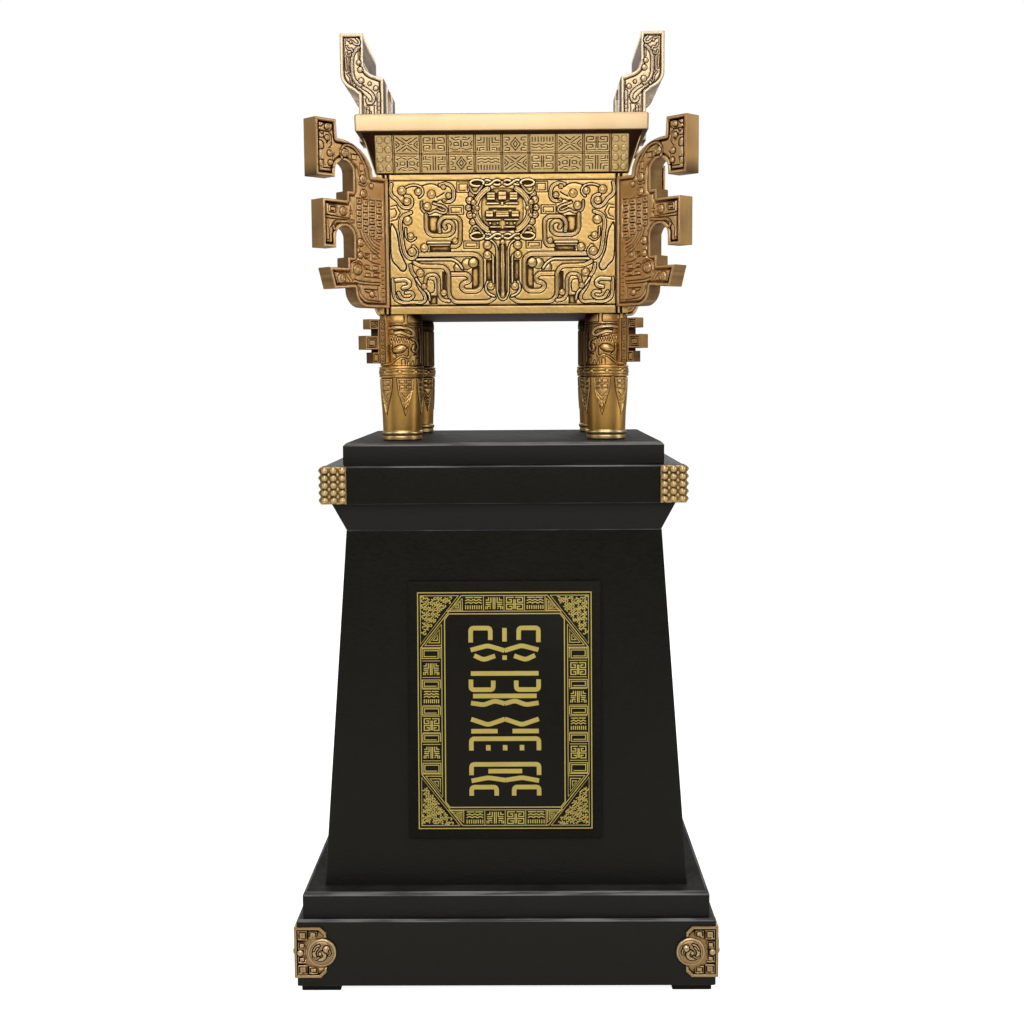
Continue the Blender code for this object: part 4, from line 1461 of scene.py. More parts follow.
SPEAR = ((-4, 15), (0, 11), (3.0, 15), (2.2, 30), (3.4, 60), (2.6, 86), (1.8, 98), (-4, 98))
WREATH_TAIL = ((50, 34), (47, 27), (41, 24), (36.5, 29), (31, 36))
WREATH_NOSE = ((52, 3), (46, 3), (43, -3), (47, -5), (52, -6))
WREATH_EYES = ((44.5, 11, 4.4, 2.6), (39.0, 2, 3.6, 2.4), (44, -9, 3.2, 2.2))  # across, up, radius, top
HEAD_LINES = (
    ((124.9, 183.6), (112.5, 187.2), (103.6, 185.6), (97, 181.5)), ((102, 166), (96, 169), (90, 173)),
    ((107, 160.5), (100.6, 159.3), (96.2, 163), (91.7, 158.8), (86, 160.5)), ((100, 151), (92, 147.5)),
    ((103, 149), (95, 145)),
)


class Medallion(Enum):
    """What stands in the middle of a wall."""

    STROKES = "wreath round rows of strokes"
    WHORL = "wreath round a whorl"


@dataclass
class DragonWall:
    """One wall of the body: two dragons about a spear blade and a medallion.

    Attributes:
        name: The piece's name.
        turn: Degrees round from the front.
        distance: How far the wall stands from the middle.
        half: Half its width in metres.
        medallion: What stands in its middle.
        step: Distance between heights of the carving, in millimetres.
        budget: Triangles that it may have.
        back: How far back the slab goes behind the wall, in millimetres.
        middle: Height of the medallion's middle over the field's foot, in millimetres.
        wreath: Radii of the wreath's outer edge across and up, in millimetres.
        inner: Half width and half height of the field inside the wreath.
        knots_at: How far the wreath's upper and lower knots are from its middle.
        foot_shade: How much darker painted shade makes the plain band below the field.
    """

    name: str
    turn: float
    distance: float
    half: float
    medallion: Medallion
    step: float
    budget: int
    back: float = 5.5
    middle: float = 146.5
    wreath: Point = (51.0, 42.0)
    inner: Point = (33.5, 34.0)
    knots_at: float = 41.0
    foot_shade: float = 0.21

    def dragon(self) -> Relief:
        """The right half of the carving, at the front wall's width.

        Returns:
            The carving, from the middle line out.
        """
        low = (BODY_BOTTOM - FIELD_BOTTOM) / MM
        relief = Relief(0, low, BODY_HALF_X / MM - SIDE_GAP, (BODY_TOP - BODY_BOTTOM) / MM, self.step)
        relief.pocket([(-9, 0), (FIELD_HALF, 0), (FIELD_HALF, FIELD_TALL), (-9, FIELD_TALL)], -1.0)
        for first, last in POCKETS:
            relief.pocket([first, (last[0], first[1]), last, (first[0], last[1])], -3.6)
        for centre, size in THUNDER:
            self.engrave_square(relief, centre, size)
        for path, width, depth in WING_LINES:
            relief.groove(path, width, depth)
        for top, moat, outline in PLATES:
            relief.plate(rounded(outline, 6), top, moat)
        for at, radius in LOBES:
            relief.boss(at, radius, 1.2, 1.0, -3.0)
        for width, lines, bend, path in BANDS:
            relief.band(rounded(path, bend), width, 0.7, 1.1, -2.6, lines)
        for path in HEAD_LINES:
            relief.groove(rounded(path, 5), 1.3, 2.2)
        for i, (at, radius) in enumerate(BOSSES):
            relief.boss(at, radius, 2.4, 0.9, -2.4)
            relief.curl(at, radius, 75 * i)
        self.draw_eye(relief)
        self.draw_spear(relief)
        self.frame_field(relief)
        return relief

    def engrave_square(self, relief: Relief, centre: Point, size: Point) -> None:
        """A square spiral inside its own frame.

        Args:
            relief: The carving.
            centre: Its middle.
            size: Its width and height.
        """
        frame = relief.box(centre, size)
        relief.groove([*frame, frame[0]], 1.2, 1.5)
        relief.groove(square_spiral(centre, (size[0] - 7, size[1] - 6), 3.2), 1.2, 1.5)

    def draw_eye(self, relief: Relief) -> None:
        """The dragon's eye: a ring round a domed pupil."""
        relief.groove(arc((109.8, 170.6), (4.6, 4.6), 0, 360, 24), 1.0, 1.1)
        relief.groove([(111.5, 171), (111.6, 171)], 1.4, 1.6)

    def draw_spear(self, relief: Relief) -> None:
        """The upright blade on the middle line.

        Args:
            relief: The carving.
        """
        relief.pocket([(-2, 12), (6.4, 16), (6.4, 94), (-2, 97)], -3.2)
        relief.plate(SPEAR, 0.4)
        relief.boss((0, 97), 4.0, 0.8, 0.8)
        relief.groove([(0, 18), (0, 90)], 1.1, 0.9)

    def frame_field(self, relief: Relief) -> None:
        """The dark line round the field and the seams beside it.

        Args:
            relief: The carving.
        """
        high = relief.low + relief.tall
        relief.groove([(-2, -0.4), (FIELD_HALF, -0.4)], 2.4, 2.8)
        relief.groove([(-2, FIELD_TALL + 0.2), (FIELD_HALF, FIELD_TALL + 0.2)], 1.6, 2.2)
        relief.groove([(FIELD_HALF + 0.8, -13), (FIELD_HALF + 0.8, high)], 3.2, 3.6)
        relief.groove([(FIELD_HALF + 7.6, -13), (FIELD_HALF + 7.6, high)], 3.6, 3.4)

    def add_medallion(self, relief: Relief) -> None:
        """The wreath with its knots, and what it holds.

        Args:
            relief: The carving.
        """
        relief.plate(arc((0, self.middle), self.wreath, 0, 354, 59), -1.0, 1.8, -3.4)
        for side in (-1, 1):
            level = self.middle + side * self.knots_at
            for phase in (0, 180):
                waves = [(u, level + 3.8 * math.sin(math.radians(phase + 11.5 * u)))
                         for u in np.arange(-31, 31.1, 1.5)]
                relief.band(waves, 4.6, 1.2, 0.9, -3.2)
            relief.boss((0, level), 3.0, 1.8, 0.6, -2.6)
        relief.pocket(self.inner_field(), -2.4)
        for hand in (-1, 1):
            self.add_wreath_side(relief, hand)
        if self.medallion is Medallion.STROKES:
            self.add_strokes(relief)
        else:
            self.add_whorl(relief)

    def add_strokes(self, relief: Relief) -> None:
        """Rows of plain strokes, some of them slotted, with two deep gaps between the rows.

        Args:
            relief: The carving.
        """
        for gap in STROKE_GAPS:
            relief.pocket(relief.box((0, self.middle + gap), (44, 4.2)), -4.4)
        for u, v, wide, tall, slots in MEDALLION_STROKES:
            for hand in (-1, 1) if u else (1,):
                centre = (hand * u, self.middle + v)
                relief.plate(relief.box(centre, (wide, tall)), 1.0, 0.6, -3.0)
                for i in range(slots):
                    level = centre[1] + tall * ((i + 1) / (slots + 1) - 0.5)
                    slot = [(centre[0] - wide / 2 + 2, level), (centre[0] + wide / 2 - 2, level)]
                    relief.groove(slot, 1.3, 1.6)

    def inner_field(self) -> list[Point]:
        """Outline of the field inside the wreath: an upright oval with flattened sides.

        Returns:
            Its corners.
        """
        angles = np.radians(np.arange(0, 360, 7.5))
        spread = 1 / (np.abs(np.cos(angles)) ** 2.8 + np.abs(np.sin(angles)) ** 2.8) ** (1 / 2.8)
        wide, tall = self.inner
        return [(wide * s * math.cos(a), self.middle + tall * s * math.sin(a))
                for a, s in zip(angles, spread)]

    def add_wreath_side(self, relief: Relief, hand: int) -> None:
        """One side of the wreath: a coiled body with lobes and eyes, between two knots.

        Args:
            relief: The carving.
            hand: 1 for the right side, -1 for the left.
        """
        middle = self.middle
        for u, v, radius in WREATH_LOBES:
            at = (hand * u, middle + v)
            relief.boss(at, radius, 1.2, 1.3, -3.2)
            relief.curl(at, radius, 90 + 4 * v)
        body = [(hand * u, v) for u, v in arc((0, middle), (42.5, 37), -58, 58, 30)]
        relief.band(body, 9.0, 1.0, 1.0, -3.2, 2)
        for up in (-1, 1):
            loop = arc((hand * 39, middle + up * 40.5), (10.5, 5.0), 0, 360, 20)
            relief.plate(loop[:-1], -3.0, 2.4, -3.4)
            relief.band(loop, 4.6, 1.5, 0.8, -3.2)
            tail = [(hand * u, middle + up * v) for u, v in WREATH_TAIL]
            relief.band(rounded(tail, 6), 4.2, 1.4, 0.8, -2.8, 1)
        for u, v, radius, top in WREATH_EYES:
            relief.boss((hand * u, middle + v), radius, top, 0.8, -2.4)
        relief.groove(rounded([(hand * u, middle + v) for u, v in WREATH_NOSE], 2), 1.5, 2.0)

    def add_whorl(self, relief: Relief) -> None:
        """A turning whorl with a domed middle.

        Args:
            relief: The carving.
        """
        for i in range(6):
            arm = scroll((0, self.middle), 26, 0.5, 60 * i, 1)
            relief.band(arm, 5.0, 0.9, 1.0, -3.2, 1)
        relief.boss((0, self.middle), 7.5, 2.2, 1.0, -3.2)

    def build(self) -> None:
        """Makes the wall and dresses it."""
        relief = self.dragon().mirror()
        self.add_medallion(relief)
        relief.u *= (self.half / MM - SIDE_GAP) / relief.u[-1]
        face = Face(wall_matrix(self.turn, self.distance, FIELD_BOTTOM))
        wall = slab(self.name, relief, face, self.back, self.budget)
        # Painted shade on the plain band below the field.
        foot, shade = FIELD_BOTTOM - 1.5 * MM, self.foot_shade
        retouch(wall, "recess", lambda x, y, z, old: np.where(z < foot, np.minimum(1.0, old + shade), old))
        dress(wall, GILT, "ding_vessel")


# The hollow shell under the carving


@dataclass
class Shell:
    """The underside, neck and inside of the body, and the rim on top.

    Attributes:
        wall: Thickness of the walls.
        floor: Thickness of the floor.
        set_back: How far the shell lies behind the carved walls.
        neck_back: How far the neck starts behind the walls.
        flare: How far it ends in front of them.
        waist: Height where the flare starts.
        rim_low: Height of the rim's underside.
        rim_high: Height of its top.
        rim_half: Half widths of the rim.
        soft: Radius of the rim's edges.
    """

    wall: float = 0.010
    floor: float = 0.012
    set_back: float = 0.005
    neck_back: float = 0.003
    flare: float = 0.021
    waist: float = 1.262
    rim_low: float = 1.3107
    rim_high: float = 1.338
    rim_half: Point = (0.2245, 0.2075)
    soft: float = 0.004

    def build_body(self) -> None:
        """Underside, neck and inside, in one closed shell."""
        inner = -self.wall
        section = (  # height, distance out from the body's walls
            (BODY_BOTTOM + 0.3 * MM, -self.set_back), (BODY_TOP - 2 * MM, -self.set_back),
            (BODY_TOP - 2 * MM, -self.neck_back), (BODY_TOP, -self.neck_back), (self.waist, -self.neck_back),
            ((self.waist + self.rim_low) / 2, self.flare * 0.42), (self.rim_low + 1 * MM, self.flare),
            (self.rim_low + 1 * MM, inner - 0.2 * MM), (BODY_BOTTOM + self.floor + 20 * MM, inner),
            (BODY_BOTTOM + self.floor + 3 * MM, inner - 1 * MM), (BODY_BOTTOM + self.floor, inner - 4 * MM),
        )
        levels = [(height, BODY_HALF_X + out, BODY_HALF_Y + out) for height, out in section]
        shell = new_object("ding_shell", stacked("ding_shell", levels, 2 * MM))
        # Painted shade under the rim, beneath the body and inside it, with patina in the neck's hollow,
        # stored as recess.
        x, y, _ = np.abs(places_of(shell)).T
        inside = (x < BODY_HALF_X - self.wall + MM) & (y < BODY_HALF_Y - self.wall + MM)
        add_wear(shell.data, np.where(inside, 0.35, 0.6))
        crisp(shell)
        dress(shell, FLANGE_GILT, "ding_vessel")

    def edge(self, angle: float) -> Point:
        """Height and setback of the rim's rounded edge.

        Args:
            angle: How far up it faces, in degrees, negative on the lower edge.

        Returns:
            Both in metres.
        """
        middle = self.rim_low + self.soft if angle < 0 else self.rim_high - self.soft
        turn = math.radians(angle)
        return middle + self.soft * math.sin(turn), self.soft * (1 - math.cos(turn))

    def build_rim(self) -> None:
        """The flat rim with its softly rounded edges."""
        half_x, half_y = self.rim_half
        inner_x, inner_y = BODY_HALF_X - self.wall, BODY_HALF_Y - self.wall
        levels = []
        for angle in (-90, -60, -30, 0, 30, 60, 90):
            height, back = self.edge(angle)
            levels.append((height, half_x - back, half_y - back))
        for angle in (90, 60, 30, 0):
            height, back = self.edge(angle)
            levels.append((height, inner_x + back, inner_y + back))
        levels.append((self.rim_low, inner_x, inner_y))
        rim = new_object("ding_rim", stacked("ding_rim", levels, 3 * MM, 5, closed=True))
        # Painted shade on the rim's underside, stored as recess.
        add_wear(rim.data, np.where(places_of(rim)[:, 2] < self.rim_low + MM, 0.6, 0))
        crisp(rim)
        dress(rim, RIM_GILT, "ding_vessel")

    def build(self) -> None:
        """Makes the shell and the rim."""
        self.build_body()
        self.build_rim()


# The neck's tablets


CELL_STROKES = (  # six patterns of strokes in the right half of a cell
    (((0.22, 0.2), (0.62, 0.2), (0.62, -0.25), (0.22, -0.25), (0.22, 0.2)), ((0.1, 0.55), (0.5, 0.8),
      (0.95, 0.5)), ((0, 0.35), (0, -0.5)), ((0.15, -0.65), (0.5, -0.55), (0.8, -0.9)), ((0.97, 0.2),
      (0.8, -0.1), (0.97, -0.45)), ((0.1, 0.95), (0.8, 0.95)), ((0.18, -0.98), (0.5, -0.88))),
    (((0.08, 0.9), (0.92, 0.9), (0.92, 0.15), (0.35, 0.15), (0.35, 0.55), (0.66, 0.55)), ((0.08, -0.15),
      (0.92, -0.15), (0.92, -0.9), (0.3, -0.9), (0.3, -0.5), (0.64, -0.5)), ((0.08, 0.6), (0.08, -0.9))),
    (((0.1, 0.1), (0.9, 0.95)), ((0.1, -0.1), (0.9, -0.95)), ((0.4, 0.9), (0, 0.5)), ((0.95, 0.5), (0.6, 0),
      (0.95, -0.5)), ((0.4, -0.9), (0, -0.5)), ((0.96, 0.15), (0.86, 0), (0.96, -0.15)), ((0.25, 0),
      (0.45, 0))),
    (((0.05, 0.9), (0.92, 0.9)), ((0, 0.6), (0.3, 0.4), (0.6, 0.6), (0.95, 0.4)), ((0, 0.2), (0.3, 0),
      (0.6, 0.2), (0.95, 0)), ((0.12, -0.3), (0.12, -0.9)), ((0.38, -0.3), (0.38, -0.9)), ((0.64, -0.3),
      (0.64, -0.9)), ((0.9, -0.3), (0.9, -0.9))),
    (((0, 0.85), (0.45, 0), (0, -0.85)), ((0, 0.4), (0.2, 0), (0, -0.4)), ((0.95, 0.9), (0.5, 0.9),
      (0.5, 0.5), (0.8, 0.5)), ((0.95, -0.9), (0.5, -0.9), (0.5, -0.5), (0.8, -0.5)), ((0.92, 0.25),
      (0.7, 0.12), (0.7, -0.12), (0.92, -0.25))),
    (((0.1, 0.9), (0.1, -0.9)), ((0.35, 0.9), (0.35, 0.15), (0.95, 0.15)), ((0.62, 0.9), (0.62, 0.5),
      (0.95, 0.5)), ((0.35, -0.15), (0.95, -0.15)), ((0.35, -0.45), (0.75, -0.45), (0.75, -0.9)),
     ((0.35, -0.75), (0.5, -0.75)), ((0.95, -0.45), (0.95, -0.9))),
)


def cell_paths(pattern: int, centre: Point, size: Point, up: int = 1) -> list[Path]:
    """Strokes of one pattern that fill a cell, the same on both sides.

    Args:
        pattern: Which of the six patterns it is.
        centre: Middle of the cell.
        size: Its width and height.
        up: -1 turns the pattern upside down.

    Returns:
        The strokes.
    """
    return [[(centre[0] + hand * u * size[0] / 2, centre[1] + up * v * size[1] / 2) for u, v in path]
            for path in CELL_STROKES[pattern] for hand in (-1, 1)]


@dataclass
class NeckTablet:
    """The leaning tablet of one side of the neck, with two rows of engraved cells.

    Attributes:
        name: The piece's name.
        turn: Degrees round from the front.
        distance: How far the wall below it stands from the middle.
        half: Half its width in millimetres.
        studs: Rows of studs at its ends, 0 for none.
        budget: Triangles that it may have.
        step: Distance between its heights in millimetres.
        low: Height of its lower edge.
        high: Height of its upper edge.
        out_low: How far its lower edge stands out from the wall.
        out_high: How far its upper edge does.
        columns: Columns of cells.
        ends: Width of the studded ends in millimetres.
        back: How far its back lies behind its face, in millimetres.
    """

    name: str
    turn: float
    distance: float
    half: float
    studs: int
    budget: int
    step: float = 0.55
    low: float = 1.2525
    high: float = 1.3065
    out_low: float = 0.002
    out_high: float = 0.0195
    columns: int = 8
    ends: float = 29.0
    back: float = 8.0

    def build(self) -> None:
        """Makes the tablet and dresses it."""
        lean = math.atan2(self.out_high - self.out_low, self.high - self.low)
        tall = math.hypot(self.out_high - self.out_low, self.high - self.low) / MM
        relief = Relief(-self.half, 0, 2 * self.half, tall, self.step)
        cells = self.half - self.ends
        pitch = 2 * cells / self.columns
        for i in range(self.columns + 1):
            u = i * pitch - cells
            for shift in (-1.3, 1.3):
                relief.groove([(u + shift, 0.5), (u + shift, tall - 0.5)], 1.2, 1.3)
        for shift in (-1.2, 1.2):
            relief.groove([(-cells, tall / 2 + shift), (cells, tall / 2 + shift)], 1.2, 1.2)
        for i in range(self.columns):
            for row in (0, 1):
                centre = ((i + 0.5) * pitch - cells, tall * (0.25 + 0.5 * row))
                size = (pitch - 6.5, tall / 2 - 6)
                for path in cell_paths((5 * i + 2 * row) % 6, centre, size, -1 if i % 3 else 1):
                    relief.groove(rounded(path, 2, 3), 1.25, 1.25)
        for side in (-1, 1):
            self.add_end(relief, side, tall)
            relief.groove([(side * self.half, 0), (side * self.half, tall)], 2.4, 2.8)
        face = Face(wall_matrix(self.turn, self.distance + self.out_low, self.low, lean))
        # The tablet's back and sides get a high recess: painted shade under the rim.
        dress(slab(self.name, relief, face, self.back, self.budget, 0.9), TABLET_GILT, "ding_vessel")

    def add_end(self, relief: Relief, side: int, tall: float) -> None:
        """The studs at one end, or plain frets where there are none.

        Args:
            relief: The carving.
            side: 1 for the right end, -1 for the left.
            tall: The tablet's height.
        """
        middle = side * (self.half - self.ends / 2)
        if not self.studs:
            for v in (0.25, 0.75):
                size = (self.ends - 8, tall / 2 - 6)
                relief.groove(square_spiral((middle, tall * v), size, 4, side), 1.2, 1.1)
            return
        for column in (-1, 1):
            for row in range(self.studs):
                at = (middle + column * 6.5, tall * (row + 0.5) / self.studs)
                relief.boss(at, 4.8, 1.1, 0.8, -0.5)


# Corner flanges


@dataclass
class CornerFlange:
    """The hooked flange that grows out of each corner of the body, four times.

    Places are millimetres out from the corner, and heights in millimetres over one metre.

    Attributes:
        root: Where it starts, inside the corner.
        thick: Its thickness.
        hooks: Outer ends above and below, top and bottom of the three hooks.
        notches: Floor and crown of the two arched notches.
        near: Inner side of the notches.
        far: Outer side of the notches.
        ledge: Outer end of the small ledges under the notches.
        edge_shade: Recess of its narrow sides near the body, as painted shade.
        edge_reach: How far out and up those sides get the painted shade, in metres.
        tip: How far out the longest hook ends, in metres.
        spread: How much further its outer end comes out, in millimetres.
        swell: How much thicker its outer end is, as a share.
        budget: Triangles that each flange may have.
    """

    root: float = -13.5
    thick: float = 25.0
    hooks: tuple[tuple[float, float, float, float], ...] = (
        (122.5, 122.5, 322.6, 238.0), (111.5, 111.5, 205.0, 133.3), (101.5, 92.5, 104.0, 72.0),
    )
    notches: tuple[Point, ...] = ((219.0, 263.5), (120.0, 166.5))
    near: float = 54.5
    far: float = 88.0
    ledge: float = 66.5
    edge_shade: float = 0.28
    edge_reach: Point = (0.088, 1.268)
    tip: float = 0.1225
    spread: float = 3.2
    swell: float = 0.27
    budget: int = 30000

    def outline(self) -> list[Point]:
        """Its outline, counter-clockwise from above.

        Returns:
            Its corners.
        """
        shoulder = BODY_TOP / MM - 1005  # 5 mm below the body's top
        points = [(self.root, shoulder)]
        points += arc((83, shoulder), (66.5, 295.2 - shoulder), 180, 90, 16)
        (tip, _, top, low), *lower = self.hooks
        points += [(85, top), (tip, top), (tip, low)]
        middle, radius = (self.near + self.far) / 2, (self.far - self.near) / 2
        for (floor, crown), (tip, toe, top, next_low) in zip(self.notches, lower):
            points.append((self.far, low))
            points += arc((middle, crown - radius), (radius, radius), 0, 180, 16)
            points += [(self.near, floor), (self.ledge, floor), (self.ledge, top)]
            points += [(tip, top), (toe, next_low)]
            low = next_low
        points.append((53, low + 3))
        points += arc((29, 74), (24, 28.5), -15, -90, 8)
        return [*points, (self.root, 45.5)][::-1]

    def carve(self) -> Relief:
        """The carving of a flange's face.

        Returns:
            The carving.
        """
        relief = Relief(self.root - 1, 44.5, 138, 279.6, 0.62)
        outline = self.outline()
        spot, away = relief.outside(outline, 1)
        relief.lower(spot, away + 4.6, -0.5)
        relief.height[spot] -= 2.8 * np.exp(-(((away + 6.0) / 1.6) ** 2))
        for path, width, lines in FLANGE_BANDS:
            relief.band(rounded(path, 7), width, 0.3, 0.9, -2.2, lines)
        for path in FLANGE_LINES:
            relief.groove(rounded(path, 4, 4), 1.3, 1.9)
        for centre, size, pitch in FLANGE_SPIRALS:
            relief.groove(square_spiral(centre, size, pitch), 1.25, 1.8)
        for sides in FLANGE_LADDERS:
            self.add_ladder(relief, *sides)
        for i in range(9):
            relief.groove([(-4, 108 - 6.5 * i), (1, 108 - 6.5 * i)], 1.2, 1.3)
        for i, (at, radius) in enumerate(FLANGE_BOSSES):
            relief.boss(at, radius, 2.0, 1.1, -2.4)
            relief.curl(at, radius, 100 * i)
        return relief

    def add_ladder(self, relief: Relief, left: float, right: float, low: float, high: float) -> None:
        """An upright strip of small boxes, each with a stroke in it.

        Args:
            relief: The carving.
            left: Its left side.
            right: Its right side.
            low: Its foot.
            high: Its top.
        """
        rows = round((high - low) / 9.5)
        tall = (high - low) / rows
        for row in range(rows):
            middle = low + (row + 0.5) * tall
            box = relief.box(((left + right) / 2, middle), (right - left, tall))
            relief.groove([*box, box[0]], 1.4, 1.7)
            relief.groove([(left + 3, middle), (right - 3, middle)], 1.4, 1.6)

    def build(self) -> None:
        """Makes the four flanges and dresses them."""
        half = 0.5 * self.thick * MM
        face = Face(Matrix.Rotation(math.radians(90), 4, "X") @ Matrix.Translation((0, 1, half)))
        first = plate("flange", self.outline(), self.carve(), face, self.thick, self.budget, True, 1.3)
        # Painted shade on the narrow sides close to the body, about the notches.
        out, up = self.edge_reach
        retouch(first, "recess", lambda x, y, z, old: np.where(
            (np.abs(y) < half - 1.2 * MM) & (x < out) & (z < up), self.edge_shade, old))
        for vert in first.data.vertices:
            share = max(vert.co.x, 0) / self.tip
            vert.co.x += self.spread * MM * share
            vert.co.y *= 1 + self.swell * share
        hand_out(first, FLANGE_GILT, "corner_flange", corner_places(BODY_HALF_X, BODY_HALF_Y))


FLANGE_BANDS = (  # path, width, lines
    (((75, 267), (77, 280), (68, 288), (54, 286), (40, 274), (29.5, 256), (26.5, 238), (32, 229.5),
      (42, 232)), 4.4, 1),
    (((56, 262), (47, 258), (42.5, 250), (41.5, 243)), 2.4, 0),
    (((104, 180), (104, 146)), 4.4, 1),
    (((55, 174), (88, 172.5), (95, 166), (91, 160.5)), 4.6, 1),
    (((62, 96), (61, 112), (50, 116), (40, 111)), 2.8, 0),
)
FLANGE_LINES = (
    ((118, 248), (118, 316), (89, 316), (89, 300)),
    ((117, 276), (109, 276), (107, 283), (111, 289), (117, 289)),
    ((99, 303), (93, 297), (93, 284), (99, 279)), ((90, 252), (96, 249.5), (110, 249.5)),
    ((108, 299), (114, 299), (114, 305)), ((92, 308), (97, 302.5), (107, 303)),
    ((106, 315), (112, 309), (117, 309)), ((89, 272), (92, 268), (92, 262)),
    ((103, 286), (99, 290), (103, 295)), ((107, 200), (68, 200)), ((60, 197), (60, 178), (107, 181)),
    ((107, 176), (70, 176)), ((62, 190), (57, 190)), ((62, 185), (57, 185)),
    ((108, 140), (100, 140), (100, 162), (90, 170)), ((43, 162), (38, 150), (24, 134), (4, 121)),
    ((37.5, 161), (31, 148), (20, 136), (4, 128)), ((31, 158), (24, 146), (15, 138), (4, 134)),
    ((24, 155), (17, 146), (11, 142), (4, 140)), ((17, 151), (11, 148), (4, 146)),
    ((46, 136), (36, 122), (20, 114), (4, 112)), ((45, 115), (34, 106), (20, 101), (4, 99)),
    ((56, 88), (44, 85), (20, 84), (4, 84)), ((53, 82), (40, 80), (4, 80)), ((36, 92), (4, 91)),
    ((50, 78), (46, 62), (34, 52), (22, 50)), ((45, 76), (42, 65), (32, 57), (4, 55)), ((9, 78), (9, 58)),
    ((36, 73), (10, 73)), ((34, 70), (12, 62)), ((74, 98), (62, 82)), ((70, 100), (57, 84)),
    ((94, 98), (88, 78), (70, 78)),
)
FLANGE_SPIRALS = (  # centre, size, distance between turns
    ((112, 298), (8, 10), 2.6), ((113, 256), (8, 10), 2.8), ((93.2, 190.5), (15, 11), 2.8),
    ((51.5, 270.5), (11, 8), 2.5), ((36.5, 256.5), (8, 11), 2.5), ((29, 123.5), (9, 8), 2.4),
    ((13, 124), (11, 7.5), 2.4), ((30, 106.5), (9, 6.5), 2.3), ((13, 106), (11, 6.5), 2.3),
    ((28, 95), (9, 5), 2.0), ((12, 95.5), (11, 5), 2.0),
)
FLANGE_LADDERS = (  # left, right, low, high
    (38.5, 48, 165, 210), (26.5, 35.5, 159, 209), (12.5, 23.5, 154, 209), (-1, 9.5, 150, 209),
)
FLANGE_BOSSES = (  # place, radius
    ((69.4, 274.9), 6.4), ((35.2, 239.0), 6.4), ((19.5, 230.2), 4.2), ((34.8, 217.5), 6.2),
    ((102, 310), 4.6), ((102, 293.6), 4.4), ((98, 271.4), 4.6), ((96.8, 257.8), 4.4), ((74.2, 188.2), 6.6),
    ((42.0, 143.5), 6.0), ((42.5, 124.5), 5.2), ((48.5, 102.4), 8.2), ((79.5, 87.5), 7.4),
    ((21, 65.8), 4.8),
)


# Ears


@dataclass
class Ears:
    """The two S-curved ears on the rim, each with an opening.

    Places are millimetres out from the middle of the ding, and heights in millimetres over
    the base.

    Attributes:
        base: Height that the others count from, in metres.
        foot: Height of the foot.
        top: Height of the top.
        half_depth: Half the depth of an ear from front to back.
        opening: Half width and height of the opening's crown, and the height of its arch.
        budget: Triangles that each ear may have.
    """

    base: float = 1.3
    foot: float = 12.5
    top: float = 182.0
    half_depth: float = 100.0
    opening: Triple = (36.0, 112.0, 12.0)
    budget: int = 26000

    def outline(self) -> list[Point]:
        """The side view of an ear, counter-clockwise.

        Returns:
            Its corners.
        """
        outer, inner = arc((230, 120), (28, 27), -70, 0, 12), arc((199.5, 137.5), (21, 21), 0, -70, 12)
        return [(229, self.foot), (229, 86.5), *outer, (258, self.top),
                (220.5, self.top), *inner, (189, 111.5), (189, self.foot)]

    def carve(self) -> Relief:
        """The carving of an ear's front face.

        Returns:
            The carving.
        """
        relief = Relief(188, 11.5, 71, 171.5, 0.5)
        spot, away = relief.outside(self.outline(), 1)
        relief.lower(spot, away + 5.0, -1.1)
        relief.height[spot] -= 1.7 * np.exp(-(((away + 6.2) / 1.4) ** 2))
        for path, width, lines in EAR_BANDS:
            relief.band(rounded(path, 8), width, 0.4, 1.2, -2.4, lines)
        for path in EAR_LINES:
            relief.groove(rounded(path, 3, 4), 1.3, 1.6)
        for at, radius in EAR_BOSSES:
            relief.boss(at, radius, 1.7, 1.2, -2.4)
        return relief

    def cutter(self) -> Piece:
        """The arched prism that cuts the opening.

        Returns:
            The prism.
        """
        half, crown, rise = self.opening
        arch = arc((0, crown - rise), (half, rise), 0, 180, 20)
        outline = [(half, self.foot - 20), *arch, (-half, self.foot - 20)]
        form = bmesh.new()
        ends = [[form.verts.new((x * MM, y * MM, z)) for x, y in outline] for z in (0.15, 0.30)]
        form.faces.new(ends[0][::-1])
        form.faces.new(ends[1])
        for i, vert in enumerate(ends[0]):
            j = (i + 1) % len(outline)
            form.faces.new((vert, ends[0][j], ends[1][j], ends[1][i]))
        mesh = finished(form, "opening")
        quarter = math.radians(90)
        mesh.transform(Matrix.Translation((0, 0, self.base)) @ Matrix.Rotation(quarter, 4, "Z")
                       @ Matrix.Rotation(quarter, 4, "X"))
        return new_object("opening", mesh)

    def build(self) -> None:
        """Makes both ears and dresses them."""
        relief = self.carve()
        front = Matrix.Translation((0, -self.half_depth * MM, self.base))
        face = Face(front @ Matrix.Rotation(math.radians(90), 4, "X"))
        thick = 2 * self.half_depth
        ear = plate("ear_right", self.outline(), relief, face, thick, self.budget, True, 1.8)
        cutter = self.cutter()
        modifier = ear.modifiers.new("opening", "BOOLEAN")
        modifier.operation, modifier.solver, modifier.object = "DIFFERENCE", "EXACT", cutter
        settle(ear)
        bpy.data.objects.remove(cutter)
        wear_from(ear, relief, face, 0.05, twin=thick)
        # Painted reflection: the ear's narrow sides are made bright through their crest.
        inner = (self.half_depth - 2.5) * MM
        retouch(ear, "crest", lambda x, y, z, old: np.where(np.abs(y) < inner, 1.0, old))
        even_out(ear)
        other = copy_of(ear, "ear_left", Matrix.Rotation(math.pi, 4, "Z"))
        for piece in (ear, other):
            dress(piece, EAR_GILT, "ding_vessel")


